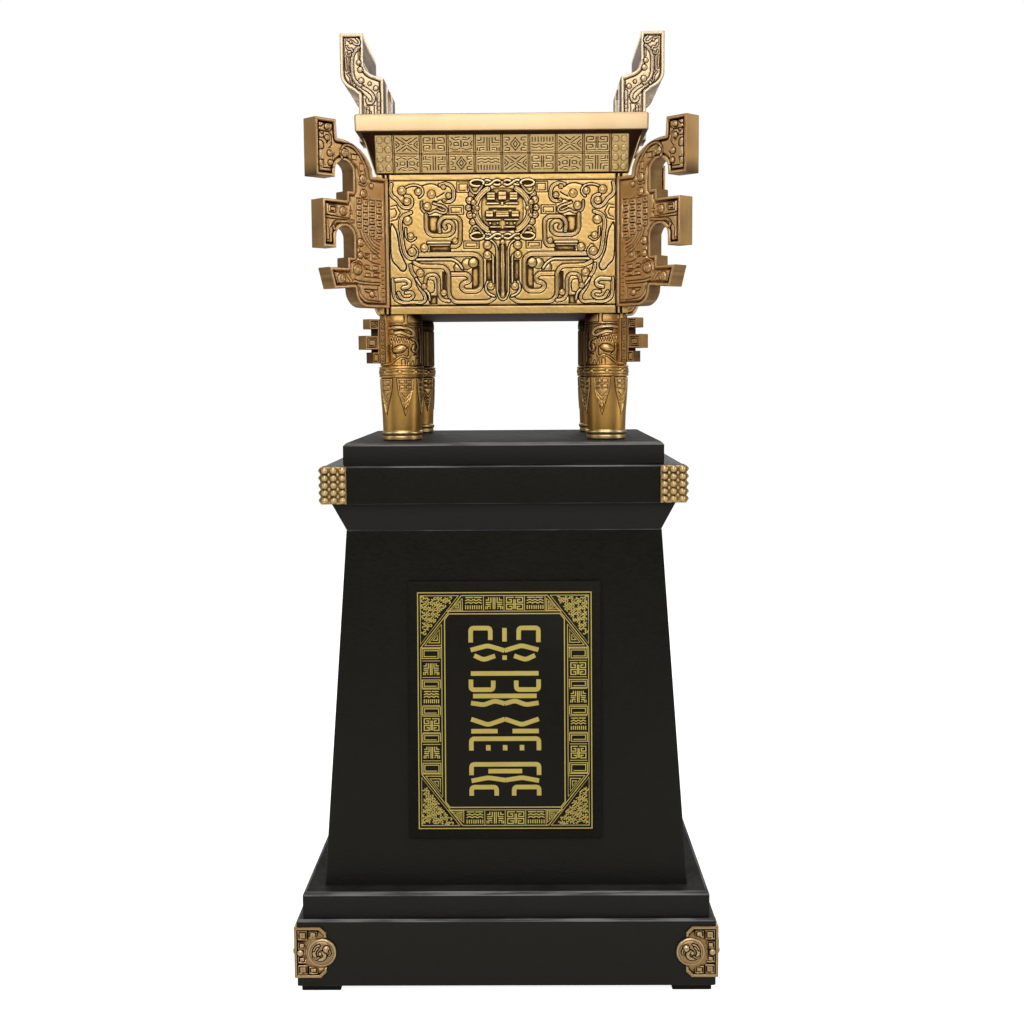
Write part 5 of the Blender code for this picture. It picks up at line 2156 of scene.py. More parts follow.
EAR_BANDS = (  # path, width, lines
    (((228, 160), (236.5, 152), (239, 142), (239, 124), (237, 111), (229.5, 103), (222, 99)), 5.2, 2),
    (((222, 98), (213, 93), (206, 86), (204.5, 79), (208, 73), (214.5, 73.5), (216, 79)), 5.0, 1),
    (((231, 174), (226, 170), (227, 164), (234, 165), (238, 170), (245, 172)), 3.4, 0),
    (((247, 162), (245, 157), (239, 158), (238, 154)), 3.2, 0),
    (((247, 152), (247, 147), (241, 147), (241, 150)), 2.8, 0),
    (((249, 143), (248, 125)), 2.8, 0), (((243.5, 143), (243.5, 122)), 1.8, 0),
    (((246, 119), (241, 113), (241, 106), (236, 100)), 2.8, 0),
    (((197, 88), (197, 20)), 5.4, 1), (((214.5, 66), (214.5, 20)), 4.0, 0),
)
EAR_LINES = (
    ((249, 176), (249, 164)), ((226, 176), (236, 176)), ((225, 160), (225, 145)), ((229, 158), (229, 143)),
    ((200, 80), (200, 74), (194.5, 74), (194.5, 68), (200, 68), (200, 62), (194.5, 62), (194.5, 56),
     (200, 56), (200, 50), (194.5, 50), (194.5, 44), (200, 44), (200, 38), (194.5, 38), (194.5, 30)),
    ((217, 70), (203, 70)), ((217, 64), (209, 60), (209, 56), (217, 56)),
    ((217, 50), (209, 46), (209, 40), (217, 40)), ((204.5, 68), (204.5, 20)), ((219.5, 68), (219.5, 20)),
    ((233, 96), (224, 88), (216, 83)), ((228, 95), (220, 87)),
)
EAR_BOSSES = (  # place, radius
    ((228.3, 136.6), 3.7), ((226.0, 125.6), 4.3), ((225.0, 108.6), 4.4), ((211.3, 103.6), 2.7),
    ((201.6, 96.4), 3.8), ((235.6, 101.6), 2.4), ((240.5, 168.2), 2.2),
)


# Legs


@dataclass
class Legs:
    """Four turned legs, each with a mask, a ring, hanging blades and a toothed flange.

    Round a leg, places are millimetres at the nominal radius from the outward diagonal, and
    heights are millimetres over its foot.

    Attributes:
        across: Distance of the axes from the middle, along X.
        along: The same along Y.
        foot: Height of the foot.
        nominal: Radius that places round it are measured at.
        profile: Radii and heights, from the foot up.
        teeth: Outer end, top and bottom of each tooth of the flange, from the highest down.
        gap_at: Place of the floor of the gaps between the teeth.
        teeth_thick: Thickness of the toothed flange.
        teeth_side: How far out from its middle a flange's face starts to get painted shade, in metres.
        teeth_root: Where its narrow sides come out of the shadow, in metres.
        teeth_shade: How much darker painted shade makes its faces, and the painted shade on its narrow sides
            near the shaft.
        eye: Middle of the mask's eye.
        eye_size: Half its length and height.
        eye_turn: How far its outer end is turned up, in degrees.
        inner_shade: How much darker painted shade makes a shaft's inner side, and how much more so up at the
            mask.
        budget: Triangles that each shaft may have.
        teeth_budget: Triangles that each toothed flange may have.
    """

    across: float = 0.1626
    along: float = 0.1450
    foot: float = 0.8383
    nominal: float = 34.0
    profile: tuple[Point, ...] = (
        (29.6, 0), (30.8, 0.9), (31.0, 2), (31.0, 6), (30.2, 7.2), (31.6, 8.6), (32.6, 10.6), (32.6, 13),
        (31.6, 14.6), (30.6, 15.6), (33.2, 97.5), (33.6, 99), (35.4, 100.4), (35.6, 101.5), (35.6, 114.5),
        (35.2, 115.6), (34, 116.6), (34, 190), (32, 204),
    )
    teeth: tuple[Triple, ...] = ((70.3, 189.7, 174.3), (79.6, 164.0, 142.6), (64.2, 138.5, 121.4))
    gap_at: float = 54.6
    teeth_thick: float = 18.0
    teeth_side: float = 0.0078
    teeth_root: float = 0.056
    teeth_shade: Point = (0.22, 0.75)
    eye: Point = (27.0, 143.6)
    eye_size: Point = (11.4, 5.8)
    eye_turn: float = 14.0
    inner_shade: Point = (0.23, 0.28)
    budget: int = 36000
    teeth_budget: int = 5000

    def carve(self) -> Relief:
        """The carving once round a shaft, the same on both sides of its flange.

        Returns:
            The carving.
        """
        relief = Relief(0, 0, math.pi * self.nominal, 204, 0.62)
        self.add_mask(relief)
        self.add_ring(relief)
        whole = relief.mirror()
        self.add_blades(whole)
        return whole

    def add_mask(self, relief: Relief) -> None:
        """Brow, eye, nose, teeth and cheek of the mask.

        Args:
            relief: The carving.
        """
        edge = math.pi * self.nominal
        relief.groove([(0, 181), (edge, 181)], 1.4, 1.8)
        for middle in (20, 56, 92):
            frame = rounded(relief.box((middle, 190.5), (30, 13)), 3)
            relief.groove([*frame, frame[0]], 1.3, 1.6)
        relief.groove([(0, 118), (edge, 118)], 1.2, 1.4)
        relief.pocket([(7, 119), (edge - 34, 119), (edge - 34, 179), (7, 179)], -0.9)
        for path, width, lines in MASK_BANDS:
            relief.band(rounded(path, 6), width, 1.0, 0.9, -2.0, lines)
        for path in MASK_LINES:
            relief.groove(rounded(path, 4, 4), 1.2, 1.4)
        for i in range(9):
            u = 11 + i * 4.2
            relief.groove([(u, 154), (u + 4, 163)], 1.1, 1.2)
            relief.groove([(u + 4, 154), (u, 163)], 1.1, 1.2)
        self.add_eye(relief)
        for u in np.arange(edge - 30, edge, 5.2):
            relief.groove([(u, 121), (u, 178)], 1.1, 1.1)

    def add_eye(self, relief: Relief) -> None:
        """The mask's domed oval eye in its socket.

        Args:
            relief: The carving.
        """
        (middle_u, middle_v), (long, short) = self.eye, self.eye_size
        spot, u, v = relief.near([self.eye], 16)
        turn = math.radians(self.eye_turn)
        x = (u - middle_u) * math.cos(turn) + (v - middle_v) * math.sin(turn)
        y = (v - middle_v) * math.cos(turn) - (u - middle_u) * math.sin(turn)
        away = np.sqrt((x / long) ** 2 + (y / short) ** 2)
        relief.lower(spot, (away - 1.22) * 5, -2.0)
        dome = -1.2 + 5.2 * np.sqrt(np.clip(1 - away ** 2, 0, 1))
        relief.height[spot] = np.where(away < 1, np.maximum(relief.height[spot], dome), relief.height[spot])

    def add_ring(self, relief: Relief) -> None:
        """The ring under the mask, with fine lines and knots.

        Args:
            relief: The carving.
        """
        edge = math.pi * self.nominal
        for v in RING_LINES:
            relief.groove([(0, v), (edge, v)], 1.1, 1.0)
        middle = RING_LINES[1]
        for u in (*RING_KNOTS, edge):
            relief.boss((u, middle), 3.4, 0.5, 0.6, -1.4)
            relief.groove([(u - 5, middle), (u - 2, 110.6), (u + 2, 110.6), (u + 5, middle)], 1.0, 0.9)

    def add_blades(self, relief: Relief) -> None:
        """Six hanging blades with two rows of small frets and fern lines.

        Args:
            relief: The carving.
        """
        edge = math.pi * self.nominal
        for i in range(-3, 4):
            u = i * edge / 3
            outline = [(u - 14.6, 98), (u - 12.6, 78), (u, 38), (u + 12.6, 78), (u + 14.6, 98)]
            relief.plate(outline, 1.5, 0.9, -1.0)
            for side in (-1, 1):
                relief.groove([(u + side * 11.4, 96), (u + side * 10.2, 78), (u, 45)], 1.2, 1.1)
                for v in (92, 84):
                    relief.groove(square_spiral((u + side * 5.4, v), (8.4, 5.6), 2.7, side), 1.2, 1.3)
                for k in range(4):
                    v = 75 - 6.5 * k
                    relief.groove([(u + side * 0.8, v - 7), (u + side * (7.4 - 1.6 * k), v)], 1.4, 1.1)
            relief.groove([(u - 11, 79.3), (u + 11, 79.3)], 1.1, 1.2)

    def teeth_outline(self) -> list[Point]:
        """The toothed flange, out from the axis and up from the foot.

        Returns:
            Its corners.
        """
        points = [(24, self.teeth[0][1])]
        for i, (tip, top, low) in enumerate(self.teeth):
            if i:
                points += [(self.gap_at, points[-1][1]), (self.gap_at, top)]
            points += [(tip, top), (tip, low)]
        return [*points, (24, points[-1][1])][::-1]

    def carve_teeth(self) -> Relief:
        """The carving of a toothed flange.

        Returns:
            The carving.
        """
        relief = Relief(23, 120, 58, 71, 0.6)
        relief.groove([(40, 121), (40, 190)], 1.4, 1.6)
        relief.groove([(50.5, 121), (50.5, 190)], 1.1, 1.3)
        for v in TEETH_KNOTS:
            relief.boss((45.2, v), 2.3, 0.9, 0.7, -1.2)
        for centre, size in TEETH_SPIRALS:
            relief.groove(square_spiral(centre, size, 2.7), 1.1, 1.3)
        return relief

    def shade(self, x: np.ndarray, y: np.ndarray, z: np.ndarray, old: np.ndarray) -> np.ndarray:
        """Recess with painted shade: darker towards the middle of the ding, and under the body at its top.

        Args:
            x: Places out along the diagonal.
            y: Places across it.
            z: Heights.
            old: Recess from the carving.

        Returns:
            The new recess.
        """
        height = z - self.foot
        under, upper = ease((height - 0.182) / 0.02), ease((height - 0.10) / 0.03)
        below, more = self.inner_shade
        inward = (below + more * upper) * ease((np.abs(np.arctan2(y, x)) - 1.05) / 0.9)
        return np.minimum(1.0, old + inward + 0.5 * under)

    def polish(self, x: np.ndarray, y: np.ndarray, z: np.ndarray, old: np.ndarray) -> np.ndarray:
        """Crest of a shaft's points: painted highlights on the two mouldings at its foot."""
        height = (z - self.foot) / MM
        return np.where((height > 8.4) & (height < 14.7) | (height > 1.5) & (height < 6.4), 1.0, old)

    def build(self) -> None:
        """Makes four legs and dresses them."""
        relief = self.carve()
        surface = Turned(0, 0, 0, self.nominal, self.profile, self.foot)
        shaft = tube("leg", relief, surface, self.budget)
        # Painted shade on each shaft's inner side and top, and painted highlights on its foot mouldings.
        retouch(shaft, "recess", self.shade)
        retouch(shaft, "crest", self.polish)
        face = Face(Matrix.Translation((0, -0.009, self.foot)) @ Matrix.Rotation(math.radians(90), 4, "X"))
        outline = self.teeth_outline()
        thick = self.teeth_thick
        teeth = plate("teeth", outline, self.carve_teeth(), face, thick, self.teeth_budget, True, 1.0)
        # Painted shade on the flange's faces and on its narrow sides near the shaft.
        more, narrow = self.teeth_shade
        retouch(teeth, "recess", lambda x, y, z, old: np.where(
            np.abs(y) > self.teeth_side, np.minimum(1.0, old + more),
            np.where(x < self.teeth_root, narrow, old)))
        for i, place in enumerate(corner_places(self.across, self.along), 1):
            dress(copy_of(shaft, f"leg_{i}", place), LEG_GILT, "ding_vessel")
            dress(copy_of(teeth, f"leg_flange_{i}", place), TEETH_GILT, "ding_vessel")
        for first in (shaft, teeth):
            bpy.data.objects.remove(first)


TEETH_KNOTS = (127, 137, 147, 157, 167, 177, 186)  # heights of the knots beside the teeth
TEETH_SPIRALS = (((61, 182), (13, 9)), ((66, 153.3), (18, 14)), ((58, 130), (8, 11)))  # centre, size
RING_LINES = (102.8, 107.8, 112.9)  # heights of the lines round the ring
RING_KNOTS = (0, 26.7, 53.4, 80.1)  # places of its knots round half a shaft
MASK_BANDS = (  # path, width, lines
    (((10, 176), (24, 178), (44, 175.5), (52, 168), (47, 162.5), (38, 166), (30, 170), (20, 169)), 5.0, 1),
    (((12, 121), (20, 127), (27, 132), (34, 133), (40, 129), (44, 136), (42, 146)), 3.2, 0),
    (((46, 160), (56, 156), (60, 146), (54, 138), (47, 142), (50, 149)), 3.6, 1),
    (((62, 176), (66, 160), (66, 122)), 3.0, 0), (((13, 150), (14, 138), (20, 134)), 2.6, 0),
)
MASK_LINES = (
    ((30, 119), (30, 128), (36, 128), (36, 119)), ((39, 119), (42, 127), (45, 119)),
    ((46, 119), (49, 127), (52, 119)), ((54, 119), (56, 130), (62, 130), (62, 119)), ((10, 167), (44, 159)),
    ((16, 172), (30, 174), (40, 171)), ((54, 178), (58, 168), (56, 160)), ((15, 126), (22, 131)),
    ((50, 134), (58, 136)), ((10, 150), (10, 124)),
)


# Pedestal


@dataclass
class Pedestal:
    """The tiers and feet of black lacquered wood.

    Attributes:
        gap: Space left between the tiers.
        foot_at: Place of the feet from the middle, both ways.
        foot_half: Half their width.
        foot_tall: Their height.
    """

    gap: float = 0.3 * MM
    foot_at: float = 0.2845
    foot_half: float = 0.030
    foot_tall: float = 0.009

    def build(self) -> None:
        """Makes every tier and foot."""
        low = self.foot_tall
        for name, high, half_low, half_high, cut, haze, finish in TIERS:
            levels = block_levels(low + self.gap, high, half_low, half_high, 1 * MM, cut * MM)
            dress(chamfered(f"{name}_dressed", levels, 3.0 * MM, haze), finish, name)
            low = high
        for i, (side_x, side_y) in enumerate(CORNERS):
            half = self.foot_half
            levels = block_levels(0, self.foot_tall, half, half, 0.8 * MM, 0.5 * MM)
            foot = chamfered(f"foot_{i + 1}", levels, 2 * MM)
            foot.data.transform(Matrix.Translation((side_x * self.foot_at, side_y * self.foot_at, 0)))
            dress(foot, BLACK_LACQUER, f"pedestal_foot_{i + 1}")


TIERS = (  # node, top, half width below and above, chamfer in millimetres, haze low and high, finish
    ("pedestal_plinth", 0.1140, 0.3205, 0.3205, 3.2, (0.75, 0.75), BLACK_LACQUER),
    ("pedestal_base_step", 0.1535, 0.3115, 0.3115, 5.0, (0.6, 0.6), TOP_LACQUER),
    ("pedestal_column", 0.7035, 0.2808, 0.243, 0.6, (0.6, 0.0), BLACK_LACQUER),
    ("pedestal_neck_moulding", 0.7465, 0.243, 0.262, 0.6, (0.75, 0.75), TOP_LACQUER),
    ("pedestal_cap", 0.804, 0.2745, 0.2745, 1.6, (0.2, 0.2), BLACK_LACQUER),
    ("pedestal_top_slab", 0.838, 0.246, 0.246, 4.5, (0.8, 0.8), TOP_LACQUER),
)


# Board and plaque


@dataclass
class Strips:
    """Thin closed strips on a sheet, like printed lines.

    Attributes:
        low: Level of their underside.
        high: Level of their top.
        places: Their points so far.
        faces: Their faces so far.
    """

    low: float
    high: float
    places: list[Triple] = field(default_factory=list)
    faces: list[tuple[int, ...]] = field(default_factory=list)

    def line(self, path: Path, width: float, closed: bool = False) -> None:
        """One strip along a path in millimetres, mitred at its corners.

        Args:
            path: The path.
            width: The strip's width.
            closed: Whether it ends where it starts.
        """
        start, count = len(self.places), len(path)
        for i, (u, v) in enumerate(path):
            runs = [Vector((u, v)) - Vector(path[i - 1])] if closed or i else []
            runs += [Vector(path[(i + 1) % count]) - Vector((u, v))] if closed or i < count - 1 else []
            across = [Vector((-run.y, run.x)).normalized() for run in runs]
            mitre = (across[0] + across[-1]) / 2
            mitre *= width / 2 / max(mitre.length_squared, 0.25)
            for side in (-1, 1):
                for level in (self.low, self.high):
                    self.places.append(((u + side * mitre.x) * MM, (v + side * mitre.y) * MM, level))
        for i in range(count if closed else count - 1):
            a, b = start + 4 * i, start + 4 * ((i + 1) % count)
            self.faces += [(a + 1, a + 3, b + 3, b + 1), (a, b, b + 2, a + 2),
                           (a, a + 1, b + 1, b), (a + 2, b + 2, b + 3, a + 3)]
        if not closed:
            b = start + 4 * (count - 1)
            self.faces += [(start, start + 2, start + 3, start + 1), (b, b + 1, b + 3, b + 2)]

    def mesh(self, name: str) -> Mesh:
        """All the strips as one mesh.

        Args:
            name: The mesh's name.

        Returns:
            The mesh.
        """
        form = bmesh.new()
        verts = [form.verts.new(place) for place in self.places]
        for face in self.faces:
            form.faces.new([verts[i] for i in face])
        bmesh.ops.recalc_face_normals(form, faces=form.faces[:])
        return finished(form, name)


COLUMN_LOW, COLUMN_TALL, COLUMN_HALF = 0.150, 0.5535, 0.281  # the column's foot, height and half width
COLUMN_INSET = 0.038  # how much narrower half its width is above
FLECKS = 105  # in each mottled triangle
FLECK_STEPS = (0.7548777, 0.5698403)  # they spread the flecks evenly
BAND_SQUARES = ((-88.5, 15), (-41.5, 12.5), (0, 12.5), (41.5, 12.5), (88.5, 15))  # middle, height
BAND_FIELDS = (-64.5, -21, 21, 64.5)  # middles of the fields between them
BLOCK_HEIGHTS = (103, 33, -37, -107)  # middles of the large fields
CORNER_TRIANGLES = (((97, 101), (97, 133.5), (122.5, 101)), ((64.5, 154.5), (86.5, 154.5), (64.5, 173)))


@dataclass
class Plaque:
    """The board on the column's front, the plaque on it and the plaque's gold lines.

    Attributes:
        middle: Height of the board's middle.
        lean: How far the column's front leans back, in radians.
        front: How far that front stands from the middle there.
        board: Half width, half height, lowest and highest level of the board.
        panel: The same of the plaque.
        side_line: Place of the outermost upright gold line, in millimetres.
        top_line: Height of the outermost level one.
    """

    middle: float = 0.426
    lean: float = -math.atan2(COLUMN_INSET, COLUMN_TALL)
    front: float = COLUMN_HALF - COLUMN_INSET * (0.426 - COLUMN_LOW) / COLUMN_TALL
    board: Sequence[float] = (0.149, 0.199, 0.0003, 0.0063)
    panel: Sequence[float] = (0.1345, 0.1835, 0.0066, 0.0086)
    side_line: float = 129.0
    top_line: float = 177.6

    def sheet(self, name: str, size: Sequence[float], soft: float) -> Piece:
        """A flat sheet with softened front edges.

        Args:
            name: Its name.
            size: Half width, half height, lowest and highest level.
            soft: Radius of its front edges.

        Returns:
            The sheet.
        """
        half_x, half_y, low, high = size
        levels = [(low, half_x, half_y)]
        for angle in (0, 30, 60, 90):
            back = soft * (1 - math.cos(math.radians(angle)))
            levels.append((high - soft + soft * math.sin(math.radians(angle)), half_x - back, half_y - back))
        mesh = stacked(name, levels, max(1.2 * soft, 1 * MM))
        mesh.transform(wall_matrix(0, self.front, self.middle, self.lean))
        found = new_object(name, mesh)
        crisp(found, 30)
        return found

    def corner_lines(self, strips: Strips, side: int, up: int) -> None:
        """The gold work in one corner: a mottled triangle, a double diagonal and nested triangles.

        Args:
            strips: Where they are drawn.
            side: 1 for the right side, -1 for the left.
            up: 1 for the top, -1 for the foot.
        """
        def at(u: float, v: float) -> Point:
            """This corner's place for one of the upper right corner."""
            return side * u, up * v

        out, top = self.side_line, self.top_line
        strips.line([at(out, 103), at(out, top), at(70.5, top)], 1.2, closed=True)
        strips.line([at(out, 97.5), at(66.2, top)], 1.3)
        for outline in CORNER_TRIANGLES:
            middle = [sum(p[i] for p in outline) / 3 for i in (0, 1)]
            for size in (1.0, 0.62, 0.26):
                shape = [at(*(m + size * (c - m) for c, m in zip(corner, middle))) for corner in outline]
                strips.line(shape, 1.3, closed=True)
        for i in range(FLECKS):
            u, v = (i * step % 1 for step in FLECK_STEPS)
            if u + v > 1:
                u, v = 1 - u, 1 - v
            centre = at(126 - 47 * u, 174.5 - 60 * v)
            strips.line(arc(centre, (2.1, 1.8), 83 * i, 83 * i + 210, 4), 1.5)

    def side_lines(self, strips: Strips, side: int) -> None:
        """One upright band: nested squares and fields of strokes in turn.

        Args:
            strips: Where they are drawn.
            side: 1 for the right side, -1 for the left.
        """
        middle = side * 113
        for v in (-97.5, 97.5):
            strips.line([(side * self.side_line, v), (side * 97, v)], 1.3)
        for v, tall in BAND_SQUARES:
            strips.line(square_spiral((middle, v), (27.5, tall), 2.9, side), 1.3)
        for i, v in enumerate(BAND_FIELDS):
            for edge in (-12.7, 12.7):
                strips.line([(side * 126.5, v + edge), (side * 99.5, v + edge)], 1.0)
            for path in cell_paths((2 * i + side) % 6, (middle, v), (24.5, 20)):
                strips.line(path, 1.6)

    def build_lines(self) -> None:
        """All the gold on the plaque, in one piece."""
        strips = Strips(self.panel[3] - 0.02 * MM, self.panel[3] + 0.08 * MM)
        strips.line([(u * 133.2, v * 182.2) for u, v in CORNERS], 1.5, closed=True)
        cut_corners = [(92, 141), (85.5, 149.5)]
        ring = [(side * u, up * v) for side, up in ((1, 1), (-1, 1), (-1, -1), (1, -1))
                for u, v in cut_corners[::side * up]]
        strips.line(ring, 1.6, closed=True)
        for side in (-1, 1):
            strips.line([(side * self.side_line, -97), (side * self.side_line, 97)], 1.2)
            strips.line([(side * 96.8, -133), (side * 96.8, 133)], 1.2)
            strips.line([(-66, side * self.top_line), (66, side * self.top_line)], 1.2)
            strips.line([(-88, side * 153.6), (88, side * 153.6)], 1.1)
            self.side_lines(strips, side)
            for up in (-1, 1):
                self.corner_lines(strips, side, up)
            for i in range(4):
                u = (i - 1.5) * 31.5
                strips.line([(u + 15.3, side * 154.6), (u + 15.3, side * 176.6)], 1.0)
                for path in cell_paths((2 * i + 3) % 6, (u, side * 165.6), (27, 20)):
                    strips.line(path, 1.6)
        for v, block in zip(BLOCK_HEIGHTS, PLAQUE_BLOCKS):
            for path in block:
                for hand in (-1, 1) if path[0][0] or path[1][0] else (1,):
                    placed = [(hand * 52 * x, v + 24.5 * y) for x, y in path]
                    strips.line(rounded(placed, 5), 7.0)
        lines = new_object("plaque_lines", strips.mesh("plaque_lines"))
        lines.data.transform(wall_matrix(0, self.front, self.middle, self.lean))
        dress(lines, PLAQUE_GOLD, "plaque_panel")

    def build(self) -> None:
        """Makes the board, the plaque and its lines."""
        dress(self.sheet("board", self.board, 1.5 * MM), BLACK_LACQUER, "plaque_board")
        dress(self.sheet("plaque", self.panel, 0.6 * MM), PLAQUE_BLACK, "plaque_panel")
        self.build_lines()


PLAQUE_BLOCKS = (  # plain strokes in the right half of each field, in halves of its width and height
    (((1, 0.1), (1, 1), (0.42, 1), (0.42, 0.25)), ((0, 1), (0, 0.15)), ((0, -0.42), (0.5, -0.1),
      (1, -0.38)), ((0.9, -0.72), (0.62, -1), (0.28, -0.75)), ((0, -0.72), (0, -1))),
    (((0, 1), (1, 1)), ((1, 0.62), (1, -0.02), (0.34, -0.02), (0.34, 0.55)), ((0, -0.42), (0.94, -0.42)),
     ((0, -0.9), (0.3, -0.72), (0.62, -0.98), (1, -0.86))),
    (((0, 0.98), (0.5, 0.62), (1, 0.98)), ((0.22, 0.22), (1, 0.22)), ((1, -1), (1, -0.26), (0, -0.26)),
     ((0.5, -1), (0.5, -0.66)), ((0, -0.66), (0, -1))),
    (((1, 0.3), (1, 0.98), (0, 0.98)), ((0, 0.55), (0.5, 0.55)), ((0, -0.02), (0.5, 0.14), (1, -0.06)),
     ((1, -1), (1, -0.46), (0.26, -0.46), (0.26, -1))),
)


# Corner fittings


MOUNT_TURNS = [Matrix.Rotation(math.radians(90 * i + 180), 4, "Z") for i in range(4)]


@dataclass
class Mounts:
    """Four angles on the corners of a square block.

    Attributes:
        half: Half width of the block.
        wide: Width of a leaf in millimetres.
        low: Height of the lower edge.
        thick: Thickness in millimetres.
        budget: Triangles that each may have.
    """

    half: float
    wide: float
    low: float
    thick: float
    budget: int

    @property
    def reach(self) -> float:
        """How far a leaf goes across, round its half of the bend."""
        return self.wide - Bent.radius + Bent.radius * math.pi / 4

    def lay(self, name: str, outline: Path, relief: Relief, soft: float) -> Piece:
        """One angle, bent round the corner of the block.

        Args:
            name: Its name.
            outline: Its outline, laid flat.
            relief: Its carving.
            soft: Radius of its softened edges.

        Returns:
            The angle.
        """
        edge = -(self.half + 0.3 * MM + self.thick * MM)
        surface = Bent(Matrix.Translation((edge, edge, self.low)))
        return plate(name, outline, relief, surface, self.thick, self.budget, soft=soft)


@dataclass
class CapMounts(Mounts):
    """Brass angles with rows of studs on the corners of the cap.

    Attributes:
        high: Height of the upper edge.
        rows: Rows of studs.
        columns: Columns of studs on a leaf.
        stud: Radius and height of a stud.
        pin: The same of the small pins between them.
    """

    high: float = 0.8035
    rows: int = 5
    columns: int = 3
    stud: Point = (5.2, 3.6)
    pin: Point = (2.3, 1.5)

    def build(self) -> None:
        """Makes the four angles and dresses them."""
        tall, reach = (self.high - self.low) / MM, self.reach
        relief = Relief(-reach, 0, 2 * reach, tall, 0.7)
        for side in (-1, 1):
            for column in range(self.columns):
                for row in range(self.rows):
                    u = side * (reach - self.wide * (column + 0.5) / self.columns)
                    self.add_stud(relief, (u, tall * (row + 0.5) / self.rows), self.stud)
                    if row and column:
                        beside = u + side * self.wide / self.columns / 2
                        self.add_stud(relief, (beside, tall * row / self.rows), self.pin)
            relief.plate(relief.box((side * (reach - 0.9), tall / 2), (1.8, tall)), 0.9)
        first = self.lay("cap_mount", relief.box((0, tall / 2), (2 * reach, tall)), relief, 0.5)
        hand_out(first, BRASS, "cap_mount", MOUNT_TURNS, "cap_corner_mount_{}")

    def add_stud(self, relief: Relief, at: Point, size: Point) -> None:
        """One domed stud of this radius and height.

        Args:
            relief: The carving.
            at: Its middle.
            size: Its radius and height.
        """
        radius, height = size
        spot, u, v = relief.near([at], radius + 1)
        share = np.clip(1 - np.hypot(u - at[0], v - at[1]) / radius, 0, 1)
        dome = height * np.sin(share * math.pi / 2) ** 1.1
        relief.height[spot] = np.maximum(relief.height[spot], dome)


@dataclass
class PlinthMounts(Mounts):
    """Brass angles with frets and a domed boss on the corners of the plinth.

    Attributes:
        tall: Height of the angle in millimetres.
        cut: Size of the cut corners in millimetres.
        disc_at: Place across of the boss on the front leaf, from the middle of the plinth.
        disc_budget: Triangles that each boss may have.
    """

    tall: float = 80.0
    cut: float = 9.0
    disc_at: float = 0.2815
    disc_budget: int = 4500

    def build(self) -> None:
        """Makes the four angles and dresses them."""
        reach = self.reach
        relief = Relief(-reach, 0, 2 * reach, self.tall, 0.62)
        for side in (-1, 1):
            self.carve_leaf(relief, side)
        points = []
        for side, up in CORNERS:
            points.append((side * reach, up * (self.tall / 2 - self.cut)))
            points.append((side * (reach - self.cut), up * self.tall / 2))
        points.sort(key=lambda p: math.atan2(p[1], p[0]))
        outline = [(u, v + self.tall / 2) for u, v in points]
        first = self.lay("plinth_mount", outline, relief, 0.8)
        hand_out(first, OLD_BRASS, "plinth_mount", MOUNT_TURNS, "plinth_corner_mount_{}")
        disc = self.disc()
        for i in range(4):
            for leaf, mirror in enumerate((1, -1)):
                turn = Matrix.Rotation(math.radians(90 * i - 90 * leaf), 4, "Z")
                name = f"plinth_disc_{i + 1}_{leaf + 1}"
                piece = copy_of(disc, name, turn @ Matrix.Diagonal((mirror, 1, 1, 1)))
                dress(piece, OLD_BRASS, f"plinth_corner_mount_{(i + 1) % 4 + 1}")
        bpy.data.objects.remove(disc)

    def carve_leaf(self, relief: Relief, side: int) -> None:
        """Frets inside a raised border, and a small button near the corner.

        Args:
            relief: The carving.
            side: 1 for the front leaf, -1 for the other.
        """
        middle = self.tall / 2
        near, far = 3.5, self.reach - 3.5
        boundary = [(side * u, v) for u, v in ((near, 4), (far - 8, 4), (far, 12), (far, self.tall - 12),
                                               (far - 8, self.tall - 4), (near, self.tall - 4))]
        relief.pocket(boundary, -1.8)
        relief.height[:] = np.maximum(relief.height, -1.8)
        for u, v, wide, tall in PLINTH_FRETS:
            for level in (v, self.tall - v):
                frame = relief.box((side * u, level), (wide, tall))
                relief.plate(frame, 0.3, 0.8, -2.2)
                relief.groove(square_spiral((side * u, level), (wide - 5, tall - 5), 3.4, side), 1.5, 2.2)
        relief.groove(arc((side * 38.5, middle), (23.8, 23.8), 0, 360, 48), 3.4, 2.4)
        relief.boss((side * 9, middle), 5, 3.2, 0.8, -1.8)

    def disc(self) -> Piece:
        """The domed boss: a curled animal inside a plain ring.

        Returns:
            The boss.
        """
        relief = Relief(-24, -24, 48, 48, 0.6)
        away = np.hypot(*np.meshgrid(relief.u, relief.v))
        relief.height = 8.0 * np.sqrt(np.clip(1 - (away / 22.9) ** 2, 0, 1)) - 3.4
        relief.height -= 1.6 * np.exp(-(((away - 18.2) / 1.2) ** 2)) + 1.0 * ease((17.6 - away) / 1.5)
        ground = relief.height.copy()
        relief.height = np.zeros_like(ground)
        relief.band(scroll((0.5, -1), 12.5, 0.95, 60, -1), 6.0, 1.6, 1.2, -1.8)
        relief.boss((-7.5, 7), 5.2, 2.4, 1.2, -1.8)
        for limb, bend, width in DISC_LIMBS:
            relief.band(rounded(limb, bend), width, 1.4, 1.0, -1.6)
        relief.boss((2, 0), 2.8, 1.8, 1.0, -1.6)
        relief.height += ground
        face = Face(wall_matrix(0, self.half + 4.2 * MM, 0.0635) @ Matrix.Translation((self.disc_at, 0, 0)))
        edge = arc((0, 0), (22.5, 22.5), 0, 352, 44)
        return plate("disc", edge, relief, face, 3.6, self.disc_budget, soft=1.2)


PLINTH_FRETS = ((12.5, 13, 15, 15), (28.5, 12, 14, 12), (11.5, 29.2, 13, 12))  # place, width, height
DISC_LIMBS = (  # path, radius of its bends, width
    (((-12, 5), (-14, 0), (-11, -3)), 3, 3.0), (((3, 13), (9, 11), (12, 5)), 4, 3.2),
    (((4, -5), (9, -9), (13, -6)), 3, 3.2),
)


# Studio


